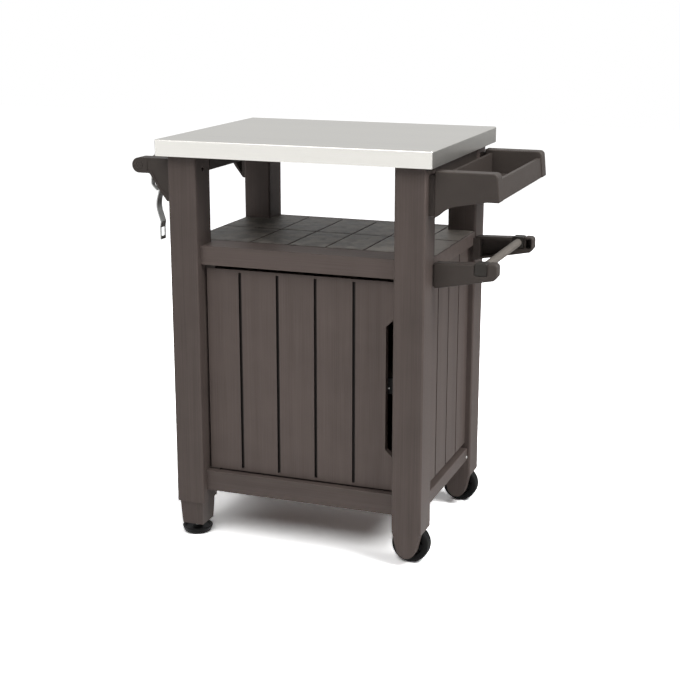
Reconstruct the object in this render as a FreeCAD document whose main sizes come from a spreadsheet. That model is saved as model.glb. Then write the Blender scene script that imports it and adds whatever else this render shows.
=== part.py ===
"""Outdoor grill cart: a steel-topped work table over a tiled shelf and a closed cabinet.

Millimetres, +Z up, +X towards the wheels, -Y towards the door. Shapes are drawn about the
middle of the worktop, and every piece is then moved along X so that the origin lies on the
floor under the middle of the whole cart, handle and tray included.
"""
import FreeCAD, Part
import math
import os
import Sketcher

doc = FreeCAD.newDocument("grill_cart")
sheet = doc.addObject("Spreadsheet::Sheet", "sizes")

# Driving dimensions: alias, value, meaning
SIZES = (
    ("worktop_length", 615, "worktop along X"),
    ("worktop_depth", 512, "worktop along Y"),
    ("worktop_height", 900, "floor to worktop"),
    ("worktop_edge", 35, "height of the folded steel edge"),
    ("worktop_gauge", 1.2, "thickness of the steel sheet"),
    ("worktop_corner", 5, "radius of the steel corners, seen from above"),
    ("worktop_fold", 2.5, "radius of the folds along the top"),
    ("panel_play", 0.3, "moulded panel inside the steel edge, each side"),
    ("panel_skin", 5, "top plate of the moulded panel"),
    ("rib_width", 6, "ribs of the moulded panel"),
    ("rib_height", 9, "ribs below the top plate"),
    ("rib_bays_x", 5, "cells between ribs along X"),
    ("rib_bays_y", 3, "cells between ribs along Y"),
    ("panel_rim", 18, "solid rim of the moulded panel at the front"),
    ("side_overhang", 19, "worktop past the outer faces of the legs, left and right"),
    ("front_overhang", 22, "worktop past the outer faces of the legs, front and back"),
    ("leg_left_width", 66, "left legs along X"),
    ("leg_right_width", 66.5, "right legs along X"),
    ("leg_depth", 72, "legs along Y"),
    ("leg_wall", 4, "wall of the hollow legs"),
    ("leg_floor", 14, "floor of the hollow in a leg"),
    ("leg_round", 4.5, "radius of the long edges of the legs, and in the door's notch"),
    ("rail_edge", 2, "rounded edges of rails and shelf"),
    ("leg_step", 81, "height where the shaft of a left leg ends"),
    ("tongue_top", 76, "height where the shaft of a right leg ends"),
    ("driver_hole", 5, "holes for the screwdriver in the inner wall of a leg"),
    ("foot_inset", 31.5, "middle of a levelling foot in from the outer face of its leg"),
    ("block_bottom", 26, "underside of the tapered foot block"),
    ("block_inset", 5, "foot block set in from the shaft at its top"),
    ("block_taper", 3, "further draw-in of the foot block at its bottom"),
    ("pad_radius", 36, "levelling pad"),
    ("pad_height", 15, "levelling pad, floor to top"),
    ("pad_floor", 6, "floor of the pad under the stem"),
    ("pad_round", 5, "rounded lower edge of the pad"),
    ("pad_edge", 2.5, "rounded upper edge of the pad"),
    ("pad_draw", 5, "levelling pad drawn in at the floor"),
    ("stem_radius", 5, "threaded stem"),
    ("stem_top", 62, "top end of the stem"),
    ("stem_play", 1.5, "well above the insert, round and over the stem"),
    ("collar_height", 5, "hexagon on the stem"),
    ("collar_gap", 0.3, "hexagon below the foot block, with the foot screwed home"),
    ("collar_radius", 9, "hexagon on the stem, across its corners"),
    ("insert_radius", 9, "threaded insert in the foot block"),
    ("insert_height", 20, "threaded insert in the foot block"),
    ("wheel_radius", 41.5, "tyre"),
    ("wheel_width", 29, "tyre"),
    ("tyre_round", 6, "rounded shoulders of the tyre"),
    ("rim_radius", 32, "seat of the tyre on the hub"),
    ("rim_wall", 4, "rim of the hub"),
    ("rim_lip", 2, "rim of the hub behind the face of the tyre"),
    ("hub_radius", 11, "boss of the hub"),
    ("hub_web", 8, "web between boss and rim"),
    ("axle_radius", 5, "stub axle"),
    ("axle_seat", 18, "length of axle held in the tongue"),
    ("axle_collar", 3, "collar that keeps the hub off the tongue"),
    ("side_play", 0.3, "hub to collar and to cap, along the axle"),
    ("cap_radius", 9, "cap on the end of the axle"),
    ("cap_height", 5, "cap on the end of the axle"),
    ("cap_edge", 1.6, "rounded edge of an axle cap"),
    ("tongue_depth", 26, "tongue that carries the wheel, along Y"),
    ("tongue_width", 61, "tongue where it leaves the shaft"),
    ("tongue_round", 21.5, "round end of the tongue"),
    ("wheel_gap", 4, "tongue to wheel"),
    ("wheel_clear", 3, "room round the tyre in the foot of its leg"),
    ("shelf_height", 670, "top of the tiled shelf"),
    ("shelf_skirt", 41, "height of the skirt of the tiled shelf, front and back"),
    ("shelf_side_skirt", 30, "height of its skirt at the sides"),
    ("shelf_side_set_back", 1.5, "its sides behind the outer faces of the legs"),
    ("shelf_skin", 8, "top plate of the tiled shelf"),
    ("shelf_wall", 5, "skirt wall"),
    ("shelf_overhang", 8, "tiled shelf behind the back panel"),
    ("front_set_back", 17, "front and back rails behind the outer faces of the legs"),
    ("side_set_back", 14.5, "side panels behind the outer faces of the legs"),
    ("side_rail_set_back", 7.5, "side rails behind the outer faces of the legs"),
    ("plank_first", 78.4, "door plank at the hinges"),
    ("plank_last", 93, "door plank at the grip; the others share the rest"),
    ("tile_border", 75, "plain strip in front of the tiles"),
    ("tile_back_border", 12, "plain strip behind the tiles"),
    ("tile_seam", 3, "seam width"),
    ("tile_seam_depth", 1.5, "seam depth"),
    ("tile_seams", 5, "seams from front to back, in line with the grooves of the door"),
    ("rail_bottom", 109, "underside of the bottom rails"),
    ("front_rail_top", 156, "top of the front and rear bottom rails"),
    ("side_rail_bottom", 116, "underside of the side bottom rails"),
    ("side_rail_top", 146, "top of the side bottom rails"),
    ("rail_thick", 16, "front and rear bottom rails along Y"),
    ("side_rail_thick", 27, "side bottom rails along X"),
    ("floor_thick", 8, "cabinet floor"),
    ("panel_thick", 14, "side and back panels"),
    ("panel_shadow", 13, "height of the recess under a side panel"),
    ("panel_tongue", 4, "thickness of the panel behind that recess"),
    ("plank_groove", 6, "width of the grooves between planks"),
    ("plank_groove_depth", 4, "depth of the grooves in the panels"),
    ("door_groove_depth", 6, "depth of the grooves in the door"),
    ("door_grooves", 4, "grooves in the door"),
    ("side_planks", 4, "planks in a side panel"),
    ("back_planks", 5, "planks in the back panel"),
    ("door_thick", 16, "door"),
    ("door_recess", 34, "face of the door behind the front faces of the legs"),
    ("door_gap_left", 5, "door to left leg"),
    ("door_gap_right", 5, "door to right leg"),
    ("door_gap_bottom", 3, "door above the front rail"),
    ("door_gap_top", 10, "door below the skirt of the shelf"),
    ("door_margin", 6, "ends of the grooves from the edges of a door or panel"),
    ("door_frame", 30, "rim round the hollow on the inside of the door"),
    ("door_hollow", 5, "depth of that hollow"),
    ("grip_depth", 21, "finger notch in the free edge of the door"),
    ("grip_low", 250, "notch, lower inner corner"),
    ("grip_high", 522, "notch, upper inner corner"),
    ("hinge_depth", 8, "hinge axis behind the face of the door"),
    ("hinge_inset", 11, "hinge axis from the edge of the door, so that it opens past the leg"),
    ("hinge_pin_radius", 3, "hinge pin"),
    ("hinge_pin_reach", 16, "length of pin inside the door"),
    ("hinge_pin_root", 3, "length of pin inside its bracket"),
    ("pin_play", 1, "free depth at the end of a blind bore"),
    ("hinge_plate", 18, "hinge bracket along Y"),
    ("hinge_gap", 0.3, "door to hinge bracket"),
    ("catch_height", 388, "middle of the door catch"),
    ("catch_size", 34, "door catch, up and down"),
    ("catch_reach", 44, "door catch, in from the right leg"),
    ("catch_thick", 13, "door catch along Y"),
    ("catch_gap", 0.3, "door catch to door"),
    ("magnet_edge", 3, "plastic round the magnet"),
    ("magnet_width", 12, "magnet along X"),
    ("magnet_depth", 6, "magnet along Y"),
    ("magnet_height", 12, "magnet, up and down"),
    ("strike_gauge", 1.2, "strike plate, let into the back of the door"),
    ("strike_width", 13, "strike plate from the left edge of the magnet"),
    ("strike_rim", 1, "strike plate past the magnet"),
    ("inner_shelf_height", 397, "top of the shelf inside the cabinet"),
    ("inner_shelf_thick", 12, "shelf inside the cabinet"),
    ("inner_shelf_skin", 4, "its top plate"),
    ("inner_shelf_front", 74, "its front edge behind the front faces of the legs"),
    ("inner_shelf_play", 0.3, "inner shelf to panels and legs"),
    ("ledge_width", 12, "ledge under the inner shelf"),
    ("ledge_height", 14, "ledge under the inner shelf"),
    ("ledge_edge", 4, "front edge of a ledge"),
    ("apron_height", 38, "rails under the worktop"),
    ("apron_thick", 18, "rails under the worktop"),
    ("apron_inset", 2, "right rail under the worktop behind the outer faces of the legs"),
    ("handle_reach", 78, "middle of the handle rail out from the left legs"),
    ("handle_drop", 62, "middle of the handle rail below the worktop"),
    ("rail_radius", 12.5, "handle rail"),
    ("bracket_round", 16.5, "round end of the handle brackets"),
    ("bracket_thick", 36, "handle brackets along Y"),
    ("bracket_neck", 25, "level underside of a bracket, from the middle of the rail"),
    ("bracket_knee_out", 31.5, "bend in its diagonal, out from the leg"),
    ("bracket_knee_drop", 50, "bend in its diagonal, below the middle of the rail"),
    ("bracket_heel", 75.5, "foot of the bracket below the middle of the rail"),
    ("bracket_foot", 12, "foot of the bracket out from the leg"),
    ("bracket_seat", 10, "depth of the seat of the rail in a bracket"),
    ("bracket_rim", 5, "rim round the sunk face of a bracket"),
    ("bracket_sink", 1, "depth of the sunk face"),
    ("bracket_bend", 33, "radius of the bend in its diagonal"),
    ("bracket_screw_drop", 4, "screw of a bracket below the middle of the rail"),
    ("peg_width", 14, "peg at the foot of a bracket, along Y"),
    ("peg_height", 10, "peg, up and down"),
    ("peg_rise", 8, "peg above the foot of the bracket"),
    ("bracket_solid", 14, "solid root of brackets and arms, for the screws"),
    ("rail_cap_radius", 9, "cap in the outer face of a bracket"),
    ("rail_cap_depth", 6, "counterbore for bolt head and cap"),
    ("rail_cap_thick", 2, "cap, up to the face of the bracket"),
    ("rail_cap_proud", 0.8, "cap in front of the face of the bracket"),
    ("rail_bolt_length", 25, "bolt inside the rail"),
    ("rail_bolt_radius", 3, "bolt in the end of the rail"),
    ("rail_bolt_head", 3.5, "height of its head"),
    ("rail_bolt_head_radius", 6, "its head"),
    ("opener_width", 24, "bottle opener along Y"),
    ("opener_gauge", 2.5, "strip of the bottle opener"),
    ("opener_place", 111, "its middle in front of the middle of the cart"),
    ("opener_play", 0.3, "inside of its loop to the rail"),
    ("opener_tip", 11.5, "free end of its short leg, out from the rail"),
    ("opener_tip_drop", 69, "free end of its short leg, down"),
    ("opener_bow", 23.75, "outermost run of its short leg"),
    ("opener_bow_drop", 45, "upper end of that run"),
    ("opener_bow_run", 12, "length of that run"),
    ("opener_waist", 3.5, "upper bend of its long leg, out from the rail"),
    ("opener_waist_drop", 72, "upper bend, down"),
    ("opener_belly", 12.5, "middle bend of its long leg, out from the rail"),
    ("opener_belly_drop", 102, "middle bend, down"),
    ("opener_heel", 0.5, "lower bend of its long leg, out from the rail"),
    ("opener_heel_drop", 139.5, "lower bend, down"),
    ("opener_plate", 2.5, "pierced plate at its end, out from the rail"),
    ("opener_plate_drop", 152, "upper end of that plate, down"),
    ("opener_bend", 25, "radius of its gentle bends"),
    ("opener_curve", 60, "radius of its middle bend"),
    ("opener_kink", 6, "radius of its lower bends"),
    ("opener_tongue", 13, "width of its short leg"),
    ("opener_drop", 181, "middle of the rail to its lower end"),
    ("opener_window", 20, "height of its window"),
    ("opener_lip", 8, "strip left below the window"),
    ("opener_side", 4, "strip left beside the window"),
    ("tray_inset", 18, "ends of the condiment tray behind the outer faces of the legs"),
    ("tray_gap", 12.5, "tray out from the right legs"),
    ("tray_reach", 147, "outer foot of the tray out from the right legs"),
    ("tray_cheek", 36, "end cheeks of the tray along Y"),
    ("tray_lean", 5.5, "lean of the outer face of the cheeks"),
    ("tray_top_drop", 44.5, "top of the cheeks below the worktop"),
    ("tray_rim_drop", 53, "top of the inner wall below the worktop"),
    ("tray_outer_drop", 59, "top of the outer wall below the worktop"),
    ("tray_drop", 102, "underside of the tray below the worktop"),
    ("tray_skin", 5, "floor of the tray"),
    ("tray_wall", 8, "long walls of the tray"),
    ("tray_wall_in", 9, "inner wall of the tray behind the faces of the cheeks"),
    ("tray_wall_back", 3, "outer wall of the tray behind the faces of the cheeks"),
    ("tray_shell", 4, "walls of the hollow cheeks"),
    ("tray_flat", 27.5, "level underside of a cheek"),
    ("tray_bend_out", 37, "first bend of the underside, out from the cheek's root"),
    ("tray_bend_drop", 12.7, "first bend below the underside"),
    ("tray_hook_out", 12, "second bend, out from the cheek's root"),
    ("tray_hook_drop", 27.2, "second bend below the underside"),
    ("tray_heel_drop", 37.6, "root of a cheek below the underside"),
    ("tray_round", 10, "rounded top corner of the cheeks"),
    ("tray_sweep", 40, "radius of the first bend of the underside"),
    ("tray_hook", 20, "radius of its second bend"),
    ("tray_edge", 2.5, "rounded edges of the cheeks"),
    ("neck_inset", 4, "necks of tray and arms set in from their faces"),
    ("arm_offset", 1, "middle of a towel arm outside the inner faces of the legs"),
    ("arm_thick", 30, "towel arm along Y"),
    ("arm_gap", 4.5, "towel arm out from the leg"),
    ("arm_reach", 136.5, "end of a towel arm out from the leg"),
    ("arm_drop", 9.5, "top of a towel arm at the leg, below the top of the shelf"),
    ("arm_rise", 3, "top of a towel arm, rise to the slot"),
    ("arm_root", 53.5, "height of a towel arm at the leg"),
    ("arm_under", 24, "rise of its underside to the tip"),
    ("arm_chamfer", 7, "cut lower corner of the tip, along X"),
    ("arm_chamfer_rise", 9, "the same, upwards"),
    ("arm_edge", 3, "rounded edges of the arm"),
    ("arm_wall", 4, "walls of the hollow arm"),
    ("post_drop", 4, "top of the end post below the top of the shelf"),
    ("post_round", 8, "rounded top of the end post"),
    ("post_width", 21, "end post along X"),
    ("slot_width", 27, "slot for the end block of the roller"),
    ("slot_drop", 30, "floor of the slot below the top of the shelf"),
    ("slot_round", 4, "lower corners of the slot"),
    ("block_play", 0.3, "end block in its slot"),
    ("block_edge", 1.5, "rounded edges of the outer face of an end block"),
    ("roller_radius", 9, "towel roller"),
    ("roller_drop", 17, "middle of the towel roller below the top of the shelf"),
    ("roller_grooves", 14, "grooves round the roller"),
    ("roller_groove", 4, "width of a groove"),
    ("roller_groove_depth", 0.8, "depth of a groove"),
    ("spigot_radius", 5, "ends of the roller inside the blocks"),
    ("spigot_length", 12, "ends of the roller inside the blocks"),
    ("screw_radius", 2, "screw shank"),
    ("screw_head", 4, "screw head"),
    ("screw_head_height", 2.5, "screw head"),
    ("screw_bite", 12, "length of screw beyond the wall of the leg"),
    ("screw_edge", 12, "screws from the ends of the piece that they hold"),
    ("screw_play", 1, "free end of a screw hole, and room round a screw head"),
    ("screw_grip", 20, "rail left between screw head and worktop"),
    ("screw_place", 100, "screws under the worktop from the middle of the cart"),
    ("running_play", 0.05, "pin, axle or screw in its bore, on the radius"),
)
for row, (alias, value, note) in enumerate(SIZES, start=1):
    sheet.set(f"A{row}", note)
    sheet.set(f"B{row}", str(value))
    sheet.setAlias(f"B{row}", alias)
doc.recompute()


def named(text):
    """Write an expression: each sheet alias in the text gets the sheet's name in front."""
    words = {alias for alias, _, _ in SIZES}
    parts = []
    word = ""
    for letter in f"{text} ":
        if letter.isalnum() or letter in "_.":
            word += letter
            continue
        parts.append(f"sizes.{word}" if word in words else word)
        parts.append(letter)
        word = ""
    return "".join(parts).strip()


def number(text):
    """The present value of an expression on the sheet."""
    return float(sheet.evalExpression(named(text)))


def bind(thing, prop, text):
    """Tie one property of an object to an expression on the sheet."""
    thing.setExpression(prop, named(text))


# Planes and axes that several pieces share
LEG_OUT = "(worktop_length/2 - side_overhang)"
LEG_FRONT = "(worktop_depth/2 - front_overhang)"
LEG_BACK = f"({LEG_FRONT} - leg_depth)"
LEG_MID = f"({LEG_FRONT} - leg_depth/2)"
LEFT_IN = f"({LEG_OUT} - leg_left_width)"
RIGHT_IN = f"({LEG_OUT} - leg_right_width)"
LEG_TOP = "(worktop_height - worktop_edge)"
APRON_LOW = f"({LEG_TOP} - apron_height)"
RAIL_FACE = f"({LEG_FRONT} - front_set_back)"
RAIL_IN = f"({RAIL_FACE} - rail_thick)"
SIDE_FACE = f"({LEG_OUT} - side_set_back)"
SHELF_SIDE = f"({LEG_OUT} - shelf_side_set_back)"
SIDE_RAIL_FACE = f"({LEG_OUT} - side_rail_set_back)"
PANEL_IN = f"({SIDE_FACE} - panel_thick)"
BACK_IN = f"({RAIL_FACE} - panel_thick)"
FLOOR_TOP = "(side_rail_top + floor_thick)"
SKIRT_LOW = "(shelf_height - shelf_skirt)"
SHELF_CEILING = "(shelf_height - shelf_skin)"
DOOR_FACE = f"({LEG_FRONT} - door_recess)"
DOOR_LEFT = f"({LEFT_IN} - door_gap_left)"
DOOR_RIGHT = f"({RIGHT_IN} - door_gap_right)"
DOOR_LOW = "(front_rail_top + door_gap_bottom)"
DOOR_HIGH = f"({SKIRT_LOW} - door_gap_top)"
FIRST_SEAM = f"(plank_first - {DOOR_LEFT})"
PLANK_PITCH = f"(({DOOR_LEFT} + {DOOR_RIGHT} - plank_first - plank_last)/(door_grooves - 1))"
HINGE_X = f"-({DOOR_LEFT} - hinge_inset)"
HINGE_Y = f"-({DOOR_FACE} - hinge_depth)"
MAGNET_LEFT = f"({RIGHT_IN} - catch_reach + magnet_edge)"
HANDLE_X = f"-({LEG_OUT} + handle_reach)"
BRACKET_IN = f"({LEG_MID} - bracket_thick/2)"
BRACKET_OUT = f"({LEG_MID} + bracket_thick/2)"
FOOT_X = f"-({LEG_OUT} - foot_inset)"
WHEEL_X = f"({LEG_OUT} - leg_right_width/2)"
TRAY_IN = f"({LEG_OUT} + tray_gap)"
TRAY_OUT = f"({LEG_OUT} + tray_reach)"
ARM_IN = f"({LEG_OUT} + arm_gap)"
ARM_END = f"({LEG_OUT} + arm_reach)"
SLOT_X = f"({ARM_END} - post_width - slot_width/2)"
APRON_RIGHT = f"({LEG_OUT} - apron_inset)"
HANDLE_Z = "(worktop_height - handle_drop)"
TRAY_TOP = "(worktop_height - tray_top_drop)"
TRAY_RIM = "(worktop_height - tray_rim_drop)"
TRAY_OUTER = "(worktop_height - tray_outer_drop)"
TRAY_LOW = "(worktop_height - tray_drop)"
TRAY_END = f"({LEG_FRONT} - tray_inset)"
ARM_INNER = f"({LEG_BACK} + arm_offset - arm_thick/2)"
ARM_OUTER = f"({LEG_BACK} + arm_offset + arm_thick/2)"
ARM_TOP = "(shelf_height - arm_drop)"
POST_TOP = "(shelf_height - post_drop)"
SLOT_LOW = "(shelf_height - slot_drop)"
ROLLER_Z = "(shelf_height - roller_drop)"
BORE = "(screw_radius + running_play)"
SHIFT = "(handle_reach + opener_bow + opener_gauge/2 - tray_reach)/2"

# Screws into the handle brackets, the tray and the arms: distance along Y and heights
SIDE_SCREWS = {
    "bracket": (LEG_MID, (f"{HANDLE_Z} - bracket_screw_drop",)),
    "tray": (LEG_MID, (f"{TRAY_LOW} - tray_heel_drop + screw_edge", f"{TRAY_RIM} - screw_edge")),
    "arm": (f"({LEG_BACK} + leg_wall + screw_head + screw_play)",
            (f"{ARM_TOP} - arm_root + screw_edge", f"{ARM_TOP} - screw_edge")),
}
# Screws up through the rails under the worktop
TOP_SCREWS = tuple(
    [(f"-({LEFT_IN} + apron_thick/2)", f"{turn}screw_place") for turn in ("-", "")]
    + [(f"({APRON_RIGHT} - apron_thick/2)", f"{turn}screw_place") for turn in ("-", "")]
    + [(f"{turn}screw_place", f"({LEG_FRONT} - apron_thick/2)") for turn in ("-", "")])

subparts = []


def publish(piece, label, x_text="0", y_text="0", z_text="0"):
    """Name a piece, set it in the frame of the cart and list it for writing."""
    piece.Label = label
    bind(piece, "Placement.Base.x", f"{x_text} + {SHIFT}")
    bind(piece, "Placement.Base.y", y_text)
    bind(piece, "Placement.Base.z", z_text)
    subparts.append(piece)


def new_body(name):
    return doc.addObject("PartDesign::Body", name)


def origin_item(body, role):
    return next(item for item in body.Origin.OriginFeatures if item.Role == role)


def fix_point(sketch, item, position, x_text, y_text):
    """Dimension one point of a sketch from its origin along both axes."""
    for kind, text in (("DistanceX", x_text), ("DistanceY", y_text)):
        index = sketch.addConstraint(
            Sketcher.Constraint(kind, -1, 1, item, position, number(text)))
        bind(sketch, f"Constraints[{index}]", text)


def fix_radius(sketch, item, text):
    index = sketch.addConstraint(Sketcher.Constraint("Radius", item, number(text)))
    bind(sketch, f"Constraints[{index}]", text)


def draw_circle(sketch, x_text, y_text, radius):
    centre = FreeCAD.Vector(number(x_text), number(y_text), 0)
    circle = Part.Circle(centre, FreeCAD.Vector(0, 0, 1), number(radius))
    item = sketch.addGeometry(circle, False)
    fix_point(sketch, item, 3, x_text, y_text)
    fix_radius(sketch, item, radius)


def round_corner(sketch, lines, corner, spot, arrive, leave):
    """Put a tangent arc between two lines, with their crossing point held by dimensions."""
    before, after = lines
    toward = (arrive - spot) + (leave - spot)
    radius = number(corner[2])
    centre = spot + toward.normalize() * math.hypot(radius, (arrive - spot).Length)
    left_turn = (spot - arrive).cross(leave - spot).z > 0
    first, last = (arrive, leave) if left_turn else (leave, arrive)
    start = math.atan2(first.y - centre.y, first.x - centre.x)
    stop = math.atan2(last.y - centre.y, last.x - centre.x)
    if stop < start:
        stop += 2 * math.pi
    circle = Part.Circle(centre, FreeCAD.Vector(0, 0, 1), radius)
    item = sketch.addGeometry(Part.ArcOfCircle(circle, start, stop), False)
    first_end, last_end = (1, 2) if left_turn else (2, 1)
    sketch.addConstraint(Sketcher.Constraint("Tangent", before, 2, item, first_end))
    sketch.addConstraint(Sketcher.Constraint("Tangent", item, last_end, after, 1))
    fix_radius(sketch, item, corner[2])
    point = sketch.addGeometry(Part.Point(spot), True)
    for line in lines:
        sketch.addConstraint(Sketcher.Constraint("PointOnObject", point, 1, line))
    fix_point(sketch, point, 1, corner[0], corner[1])


def draw_outline(sketch, corners, closed=True):
    """Join corners by straight lines; a third value at a corner rounds it to that radius."""
    count = len(corners)
    spots = [FreeCAD.Vector(number(corner[0]), number(corner[1]), 0) for corner in corners]
    arrive, leave = list(spots), list(spots)
    for step, corner in enumerate(corners):
        if len(corner) == 3:
            back = (spots[step - 1] - spots[step]).normalize()
            ahead = (spots[(step + 1) % count] - spots[step]).normalize()
            reach = number(corner[2]) / math.tan(back.getAngle(ahead) / 2)
            arrive[step] = spots[step] + back * reach
            leave[step] = spots[step] + ahead * reach
    lines = []
    for step in range(count if closed else count - 1):
        edge = Part.LineSegment(leave[step], arrive[(step + 1) % count])
        lines.append(sketch.addGeometry(edge, False))
    if not closed:
        fix_point(sketch, lines[0], 1, *corners[0])
        fix_point(sketch, lines[-1], 2, *corners[-1])
    for step in range(count) if closed else range(1, count - 1):
        pair = (lines[step - 1], lines[step])
        if len(corners[step]) == 3:
            round_corner(sketch, pair, corners[step], spots[step], arrive[step], leave[step])
        else:
            sketch.addConstraint(Sketcher.Constraint("Coincident", pair[0], 2, pair[1], 1))
            fix_point(sketch, pair[1], 1, *corners[step])


# A sketch's level and a pad's run are given as coordinates; XZ looks along -Y
AXIS_SIGN = {"XY": 1, "XZ": -1, "YZ": 1}


def draw(body, plane, loops, level):
    """Sketch closed outlines and circles at a level across one of the body's planes."""
    sketch = body.newObject("Sketcher::SketchObject", f"{body.Name}_sketch")
    sketch.AttachmentSupport = [(origin_item(body, f"{plane}_Plane"), "")]
    sketch.MapMode = "FlatFace"
    sign = "" if AXIS_SIGN[plane] > 0 else "-"
    bind(sketch, "AttachmentOffset.Base.z", f"{sign}({level})")
    for loop in loops:
        if loop[0] == "circle":
            draw_circle(sketch, *loop[1:])
        else:
            draw_outline(sketch, loop)
    return sketch


def grow(body, plane, loops, low, high):
    """Pad outlines from the low to the high coordinate across the plane."""
    pad = body.newObject("PartDesign::Pad", f"{body.Name}_pad")
    pad.Profile = draw(body, plane, loops, low if AXIS_SIGN[plane] > 0 else high)
    bind(pad, "Length", f"({high}) - ({low})")
    doc.recompute()


def carve(body, plane, loops, low, high):
    """Cut outlines away between two coordinates, and make sure that something was cut."""
    before = body.Shape.Volume
    pocket = body.newObject("PartDesign::Pocket", f"{body.Name}_pocket")
    pocket.Profile = draw(body, plane, loops, high if AXIS_SIGN[plane] > 0 else low)
    bind(pocket, "Length", f"({high}) - ({low})")
    doc.recompute()
    if body.Shape.Volume > before - 1e-3:
        raise ValueError(f"{body.Name}: a pocket cut nothing")
    return pocket


def repeat(body, feature, axis, span, count):
    """Repeat a feature evenly along an axis of the body; span is first to last."""
    pattern = body.newObject("PartDesign::LinearPattern", f"{body.Name}_row")
    pattern.Originals = [feature]
    pattern.Direction = (origin_item(body, axis), [""])
    bind(pattern, "Length", span)
    bind(pattern, "Occurrences", count)
    body.Tip = pattern
    doc.recompute()


def turn(body, plane, corners, axis):
    """Turn a closed outline right round an axis of the body."""
    turned = body.newObject("PartDesign::Revolution", f"{body.Name}_turned")
    turned.Profile = draw(body, plane, [corners], "0")
    turned.ReferenceAxis = (origin_item(body, axis), [""])
    turned.Angle = 360
    doc.recompute()


def fillet(body, radius, chosen):
    """Round the edges that the test picks by their middle and their direction."""
    base = body.Tip
    names = []
    for index, edge in enumerate(base.Shape.Edges, start=1):
        first, last = edge.Vertexes[0].Point, edge.Vertexes[-1].Point
        if chosen((first + last) * 0.5, last - first):
            names.append(f"Edge{index}")
    if not names:
        raise ValueError(f"{body.Name}: no edge to round")
    feature = body.newObject("PartDesign::Fillet", f"{body.Name}_fillet")
    feature.Base = (base, names)
    bind(feature, "Radius", radius)
    doc.recompute()


def near(value, *texts):
    """True where a coordinate lies on one of the given planes."""
    return any(abs(value - number(text)) < 0.01 for text in texts)


def rectangle(x_low, x_high, y_low, y_high, *radius):
    """Four corners, all rounded where a radius is given."""
    return [(x_low, y_low, *radius), (x_high, y_low, *radius),
            (x_high, y_high, *radius), (x_low, y_high, *radius)]


def band(side, inner, outer):
    """Low and high coordinate between two distances from the middle, on one side."""
    if side in ("front", "left"):
        return f"-({outer})", f"-({inner})"
    return inner, outer


# Worktop: a folded steel sheet over a ribbed moulded panel
def make_worktop_sheet():
    body = new_body("worktop_sheet")
    inner_x = "(worktop_length/2 - worktop_gauge)"
    inner_y = "(worktop_depth/2 - worktop_gauge)"
    ceiling = "(worktop_height - worktop_gauge)"
    outline = rectangle("-worktop_length/2", "worktop_length/2",
                        "-worktop_depth/2", "worktop_depth/2", "worktop_corner")
    grow(body, "XY", [outline], LEG_TOP, "worktop_height")
    fillet(body, "worktop_fold", lambda middle, along: near(middle.z, "worktop_height"))
    hollow = rectangle(f"-{inner_x}", inner_x, f"-{inner_y}", inner_y,
                       "worktop_corner - worktop_gauge")
    carve(body, "XY", [hollow], LEG_TOP, ceiling)
    fillet(body, "worktop_fold - worktop_gauge", lambda middle, along: near(middle.z, ceiling))
    publish(body, "worktop_sheet")


def make_worktop_panel():
    body = new_body("worktop_panel")
    half_x = "(worktop_length/2 - worktop_gauge - panel_play)"
    half_y = "(worktop_depth/2 - worktop_gauge - panel_play)"
    top = "(worktop_height - worktop_gauge)"
    outline = rectangle(f"-{half_x}", half_x, f"-{half_y}", half_y, "worktop_corner")
    grow(body, "XY", [outline], LEG_TOP, top)
    fillet(body, "worktop_fold", lambda middle, along: near(middle.z, top))
    cell_x = f"(({LEFT_IN} + {RIGHT_IN} - rib_width*(rib_bays_x + 1))/rib_bays_x)"
    field_low = "(panel_rim - worktop_depth/2)"
    field_high = f"({LEG_FRONT} - apron_thick - rib_width)"
    cell_y = f"(({field_high} - {field_low} + rib_width)/rib_bays_y - rib_width)"
    rib_low = f"({top} - panel_skin - rib_height)"
    field = rectangle(f"rib_width - {LEFT_IN}", f"{RIGHT_IN} - rib_width", field_low, field_high)
    carve(body, "XY", [field], LEG_TOP, rib_low)
    for row in range(round(number("rib_bays_y"))):
        low_y = f"({field_low} + ({cell_y} + rib_width)*{row})"
        cell = rectangle(f"rib_width - {LEFT_IN}", f"rib_width - {LEFT_IN} + {cell_x}",
                         low_y, f"{low_y} + {cell_y}")
        cut = carve(body, "XY", [cell], rib_low, f"{top} - panel_skin")
        repeat(body, cut, "X_Axis", f"({cell_x} + rib_width)*(rib_bays_x - 1)", "rib_bays_x")
    holes = [("circle", x_text, y_text, BORE) for x_text, y_text in TOP_SCREWS]
    carve(body, "XY", holes, LEG_TOP, f"{LEG_TOP} + screw_bite + screw_play")
    publish(body, "worktop_panel")


def make_apron(label, outline, screws):
    """A rail under the worktop, with its screws in deep counterbores."""
    body = new_body(label)
    grow(body, "XY", [outline], APRON_LOW, LEG_TOP)
    fillet(body, "rail_edge", lambda middle, along: (
        near(middle.z, APRON_LOW) and along.Length > number("apron_thick*2")))
    seats = [("circle", *place, "screw_head + screw_play") for place in screws]
    carve(body, "XY", seats, APRON_LOW, f"{LEG_TOP} - screw_grip")
    carve(body, "XY", [("circle", *place, BORE) for place in screws],
          f"{LEG_TOP} - screw_grip", LEG_TOP)
    publish(body, label)


def make_worktop_screws():
    body = new_body("worktop_screws")
    body.AllowCompound = True
    head = f"({LEG_TOP} - screw_grip)"
    grow(body, "XY", [("circle", *place, "screw_head") for place in TOP_SCREWS],
         f"{head} - screw_head_height", head)
    grow(body, "XY", [("circle", *place, "screw_radius") for place in TOP_SCREWS],
         head, f"{LEG_TOP} + screw_bite")
    publish(body, "worktop_screws")


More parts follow.
